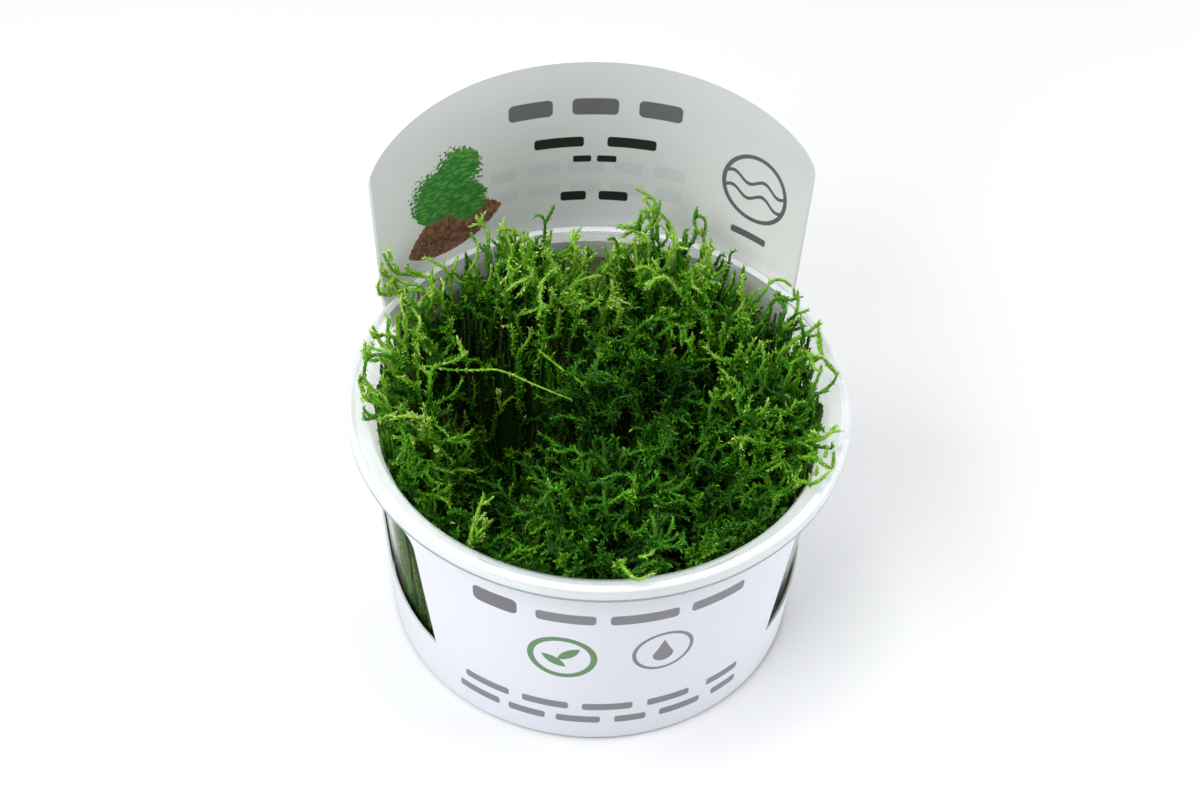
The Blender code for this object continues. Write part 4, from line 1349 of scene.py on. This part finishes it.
def coreMaterial():
    # old stems packed together: dark brown and olive streaks that run upward
    material, tree, shader, place = newMaterial("mossDepth", Roughness=0.75, Specular_IOR_Level=0.12)
    long = addNode(tree, "ShaderNodeMapping", {"Vector": place, "Scale": (1, 1, 0.07)}).outputs[0]
    wide = addNode(tree, "ShaderNodeTexNoise", {"Vector": long, "Scale": 260.0, "Detail": 4.0}).outputs[0]
    thin = addNode(tree, "ShaderNodeTexNoise", {"Vector": long, "Scale": 900.0, "Detail": 3.0}).outputs[0]
    colour = mixColour(tree, between(tree, wide, 0.38, 0.62), (0.095, 0.075, 0.020, 1),
                       (0.170, 0.180, 0.040, 1))
    colour = mixColour(tree, between(tree, thin, 0.52, 0.66), colour, (0.330, 0.390, 0.120, 1))
    # painted shade: darker where it lies under the crowns, away from the wall
    parts = addNode(tree, "ShaderNodeSeparateXYZ", {0: place}).outputs
    flat = addNode(tree, "ShaderNodeVectorMath", {0: addNode(tree, "ShaderNodeCombineXYZ", {
        0: parts[0], 1: parts[1]}).outputs[0]}, operation="LENGTH").outputs["Value"]
    wall = between(tree, flat, 35 * mm, 37 * mm)
    inner = mixColour(tree, 0.85, colour, (0.028, 0.085, 0.006, 1))
    feed(tree, shader.inputs["Base Color"], mixColour(tree, wall, inner, colour))
    bump = addNode(tree, "ShaderNodeBump", {"Strength": 0.8, "Distance": 0.0006, "Height": wide})
    feed(tree, shader.inputs["Normal"], bump.outputs[0])
    return material


def groundReach(index, direction, limit):
    # from a tuft's middle to the edge of its own ground
    here = tuftMiddles[index]
    inward = float(here @ direction)
    reach = -inward + math.sqrt(inward * inward + limit * limit - float(here @ here))
    for other in range(len(tuftNames)):
        if other != index:
            away = tuftMiddles[other] - here
            spread = float(np.linalg.norm(away))
            facing = float(away @ direction) / spread
            if facing > 0.01:
                reach = min(reach, (0.5 * spread - 0.1 * mm) / facing)
    return reach


core = {
    "sides": 96, "rings": 9, "least": 2.5 * mm, "lift": 0.2 * mm,
    "wallGap": 2.6 * mm, "windowGap": 0.6 * mm,
    "windowFrom": (46, 54), "windowTo": (124, 132),    # degrees from the front, with a soft edge
    "belowTips": 22 * mm, "belowTipsAtWall": 9 * mm, "belowTipsAtBack": 30 * mm,
}


def addCore(work, index):
    # a lumpy body that fills the tuft's ground, a good way below the tips; dark from its old stems' own
    # colour and, under the crowns, from painted shade
    low = moss["ground"] + core["lift"]
    middle = tuftMiddles[index]
    angles = [math.tau * i / core["sides"] for i in range(core["sides"])]
    directions = [np.array([math.cos(a), math.sin(a)]) for a in angles]

    def placeAt(direction, share, limit):
        return middle + direction * groundReach(index, direction, limit) * share

    def wallLimit(direction, height):
        # the body stands off the wall, but not where the sleeve leaves the cup open
        where = placeAt(direction, 1.0, innerRadius(height) - core["wallGap"])
        turn = math.degrees(math.atan2(abs(where[0]), -where[1]))
        shown = smoothStep(turn, *core["windowFrom"]) * (1 - smoothStep(turn, *core["windowTo"]))
        return innerRadius(height) - core["wallGap"] + (core["wallGap"] - core["windowGap"]) * shown

    def level(plan):
        plan = np.array(plan)
        atWall = smoothStep(np.linalg.norm(plan, axis=1), 38 * mm, 41.5 * mm)
        atBack = smoothStep(plan[:, 1], 25 * mm, 33 * mm)
        edge = core["belowTipsAtWall"] * (1 - atBack) + core["belowTipsAtBack"] * atBack
        height = canopy(plan)[0] - core["belowTips"] * (1 - atWall) - edge * atWall
        return np.maximum(height, low + core["least"])

    rings = []
    for j in range(1, core["rings"] + 1):
        plan = [placeAt(d, (j / core["rings"]) ** 0.8, innerRadius(30 * mm) - core["wallGap"])
                for d in directions]
        heights = level(plan)
        if j == core["rings"]:
            plan = [placeAt(d, 1.0, wallLimit(d, z)) for d, z in zip(directions, heights)]
        rings.append([work.verts.new((p[0], p[1], z)) for p, z in zip(plan, heights)])
    foot = [placeAt(d, 1.0, wallLimit(d, low)) for d in directions]
    rings.append([work.verts.new((p[0], p[1], low)) for p in foot])
    peak = work.verts.new((*middle, float(level([middle])[0])))
    base = work.verts.new((*middle, low))
    for i in range(core["sides"]):
        k = (i + 1) % core["sides"]
        work.faces.new((peak, rings[0][i], rings[0][k]))
        work.faces.new((base, rings[-1][k], rings[-1][i]))
        for inner, outer in zip(rings, rings[1:]):
            work.faces.new((inner[i], outer[i], outer[k], inner[k]))


def camelCase(words):
    joined = words.replace("_", " ").title().replace(" ", "")
    return joined[0].lower() + joined[1:]


def growMoss():
    guides = growGuides()
    leaf = addPiece("leafBlade", leafMesh())
    tree = leafyTree()
    green, dark = mossMaterial(), coreMaterial()
    total = 0
    for index, name in enumerate(tuftNames):
        piece = addPiece(camelCase(name), guides[name].mesh(name + "_guides"))
        shoots = piece.modifiers.new("shoots", "NODES")
        shoots.node_group = tree
        setInputs(shoots, Leaf=leaf, LeafSpacing=moss["leafSpacing"],
                  LeafTilt=math.radians(moss["leafTilt"]), Seed=index * 50, Material=green)
        applied(piece)
        mesh = piece.data
        if green.name not in [m.name for m in mesh.materials if m]:
            mesh.materials.append(green)
        mesh.materials.append(dark)
        work = bmesh.new()
        work.from_mesh(mesh)
        before = len(work.faces)
        addCore(work, index)
        work.faces.ensure_lookup_table()
        for face in work.faces[before:]:
            face.material_index = 1
            face.smooth = True
        work.to_mesh(mesh)
        work.free()
        faces = sum(len(p.vertices) - 2 for p in mesh.polygons)
        total += faces
        print("  ", name, faces, "triangles")
        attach(piece, "root")
        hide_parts(name)
    bpy.data.objects.remove(leaf, do_unlink=True)
    print("moss grown:", total, "triangles")


growMoss()
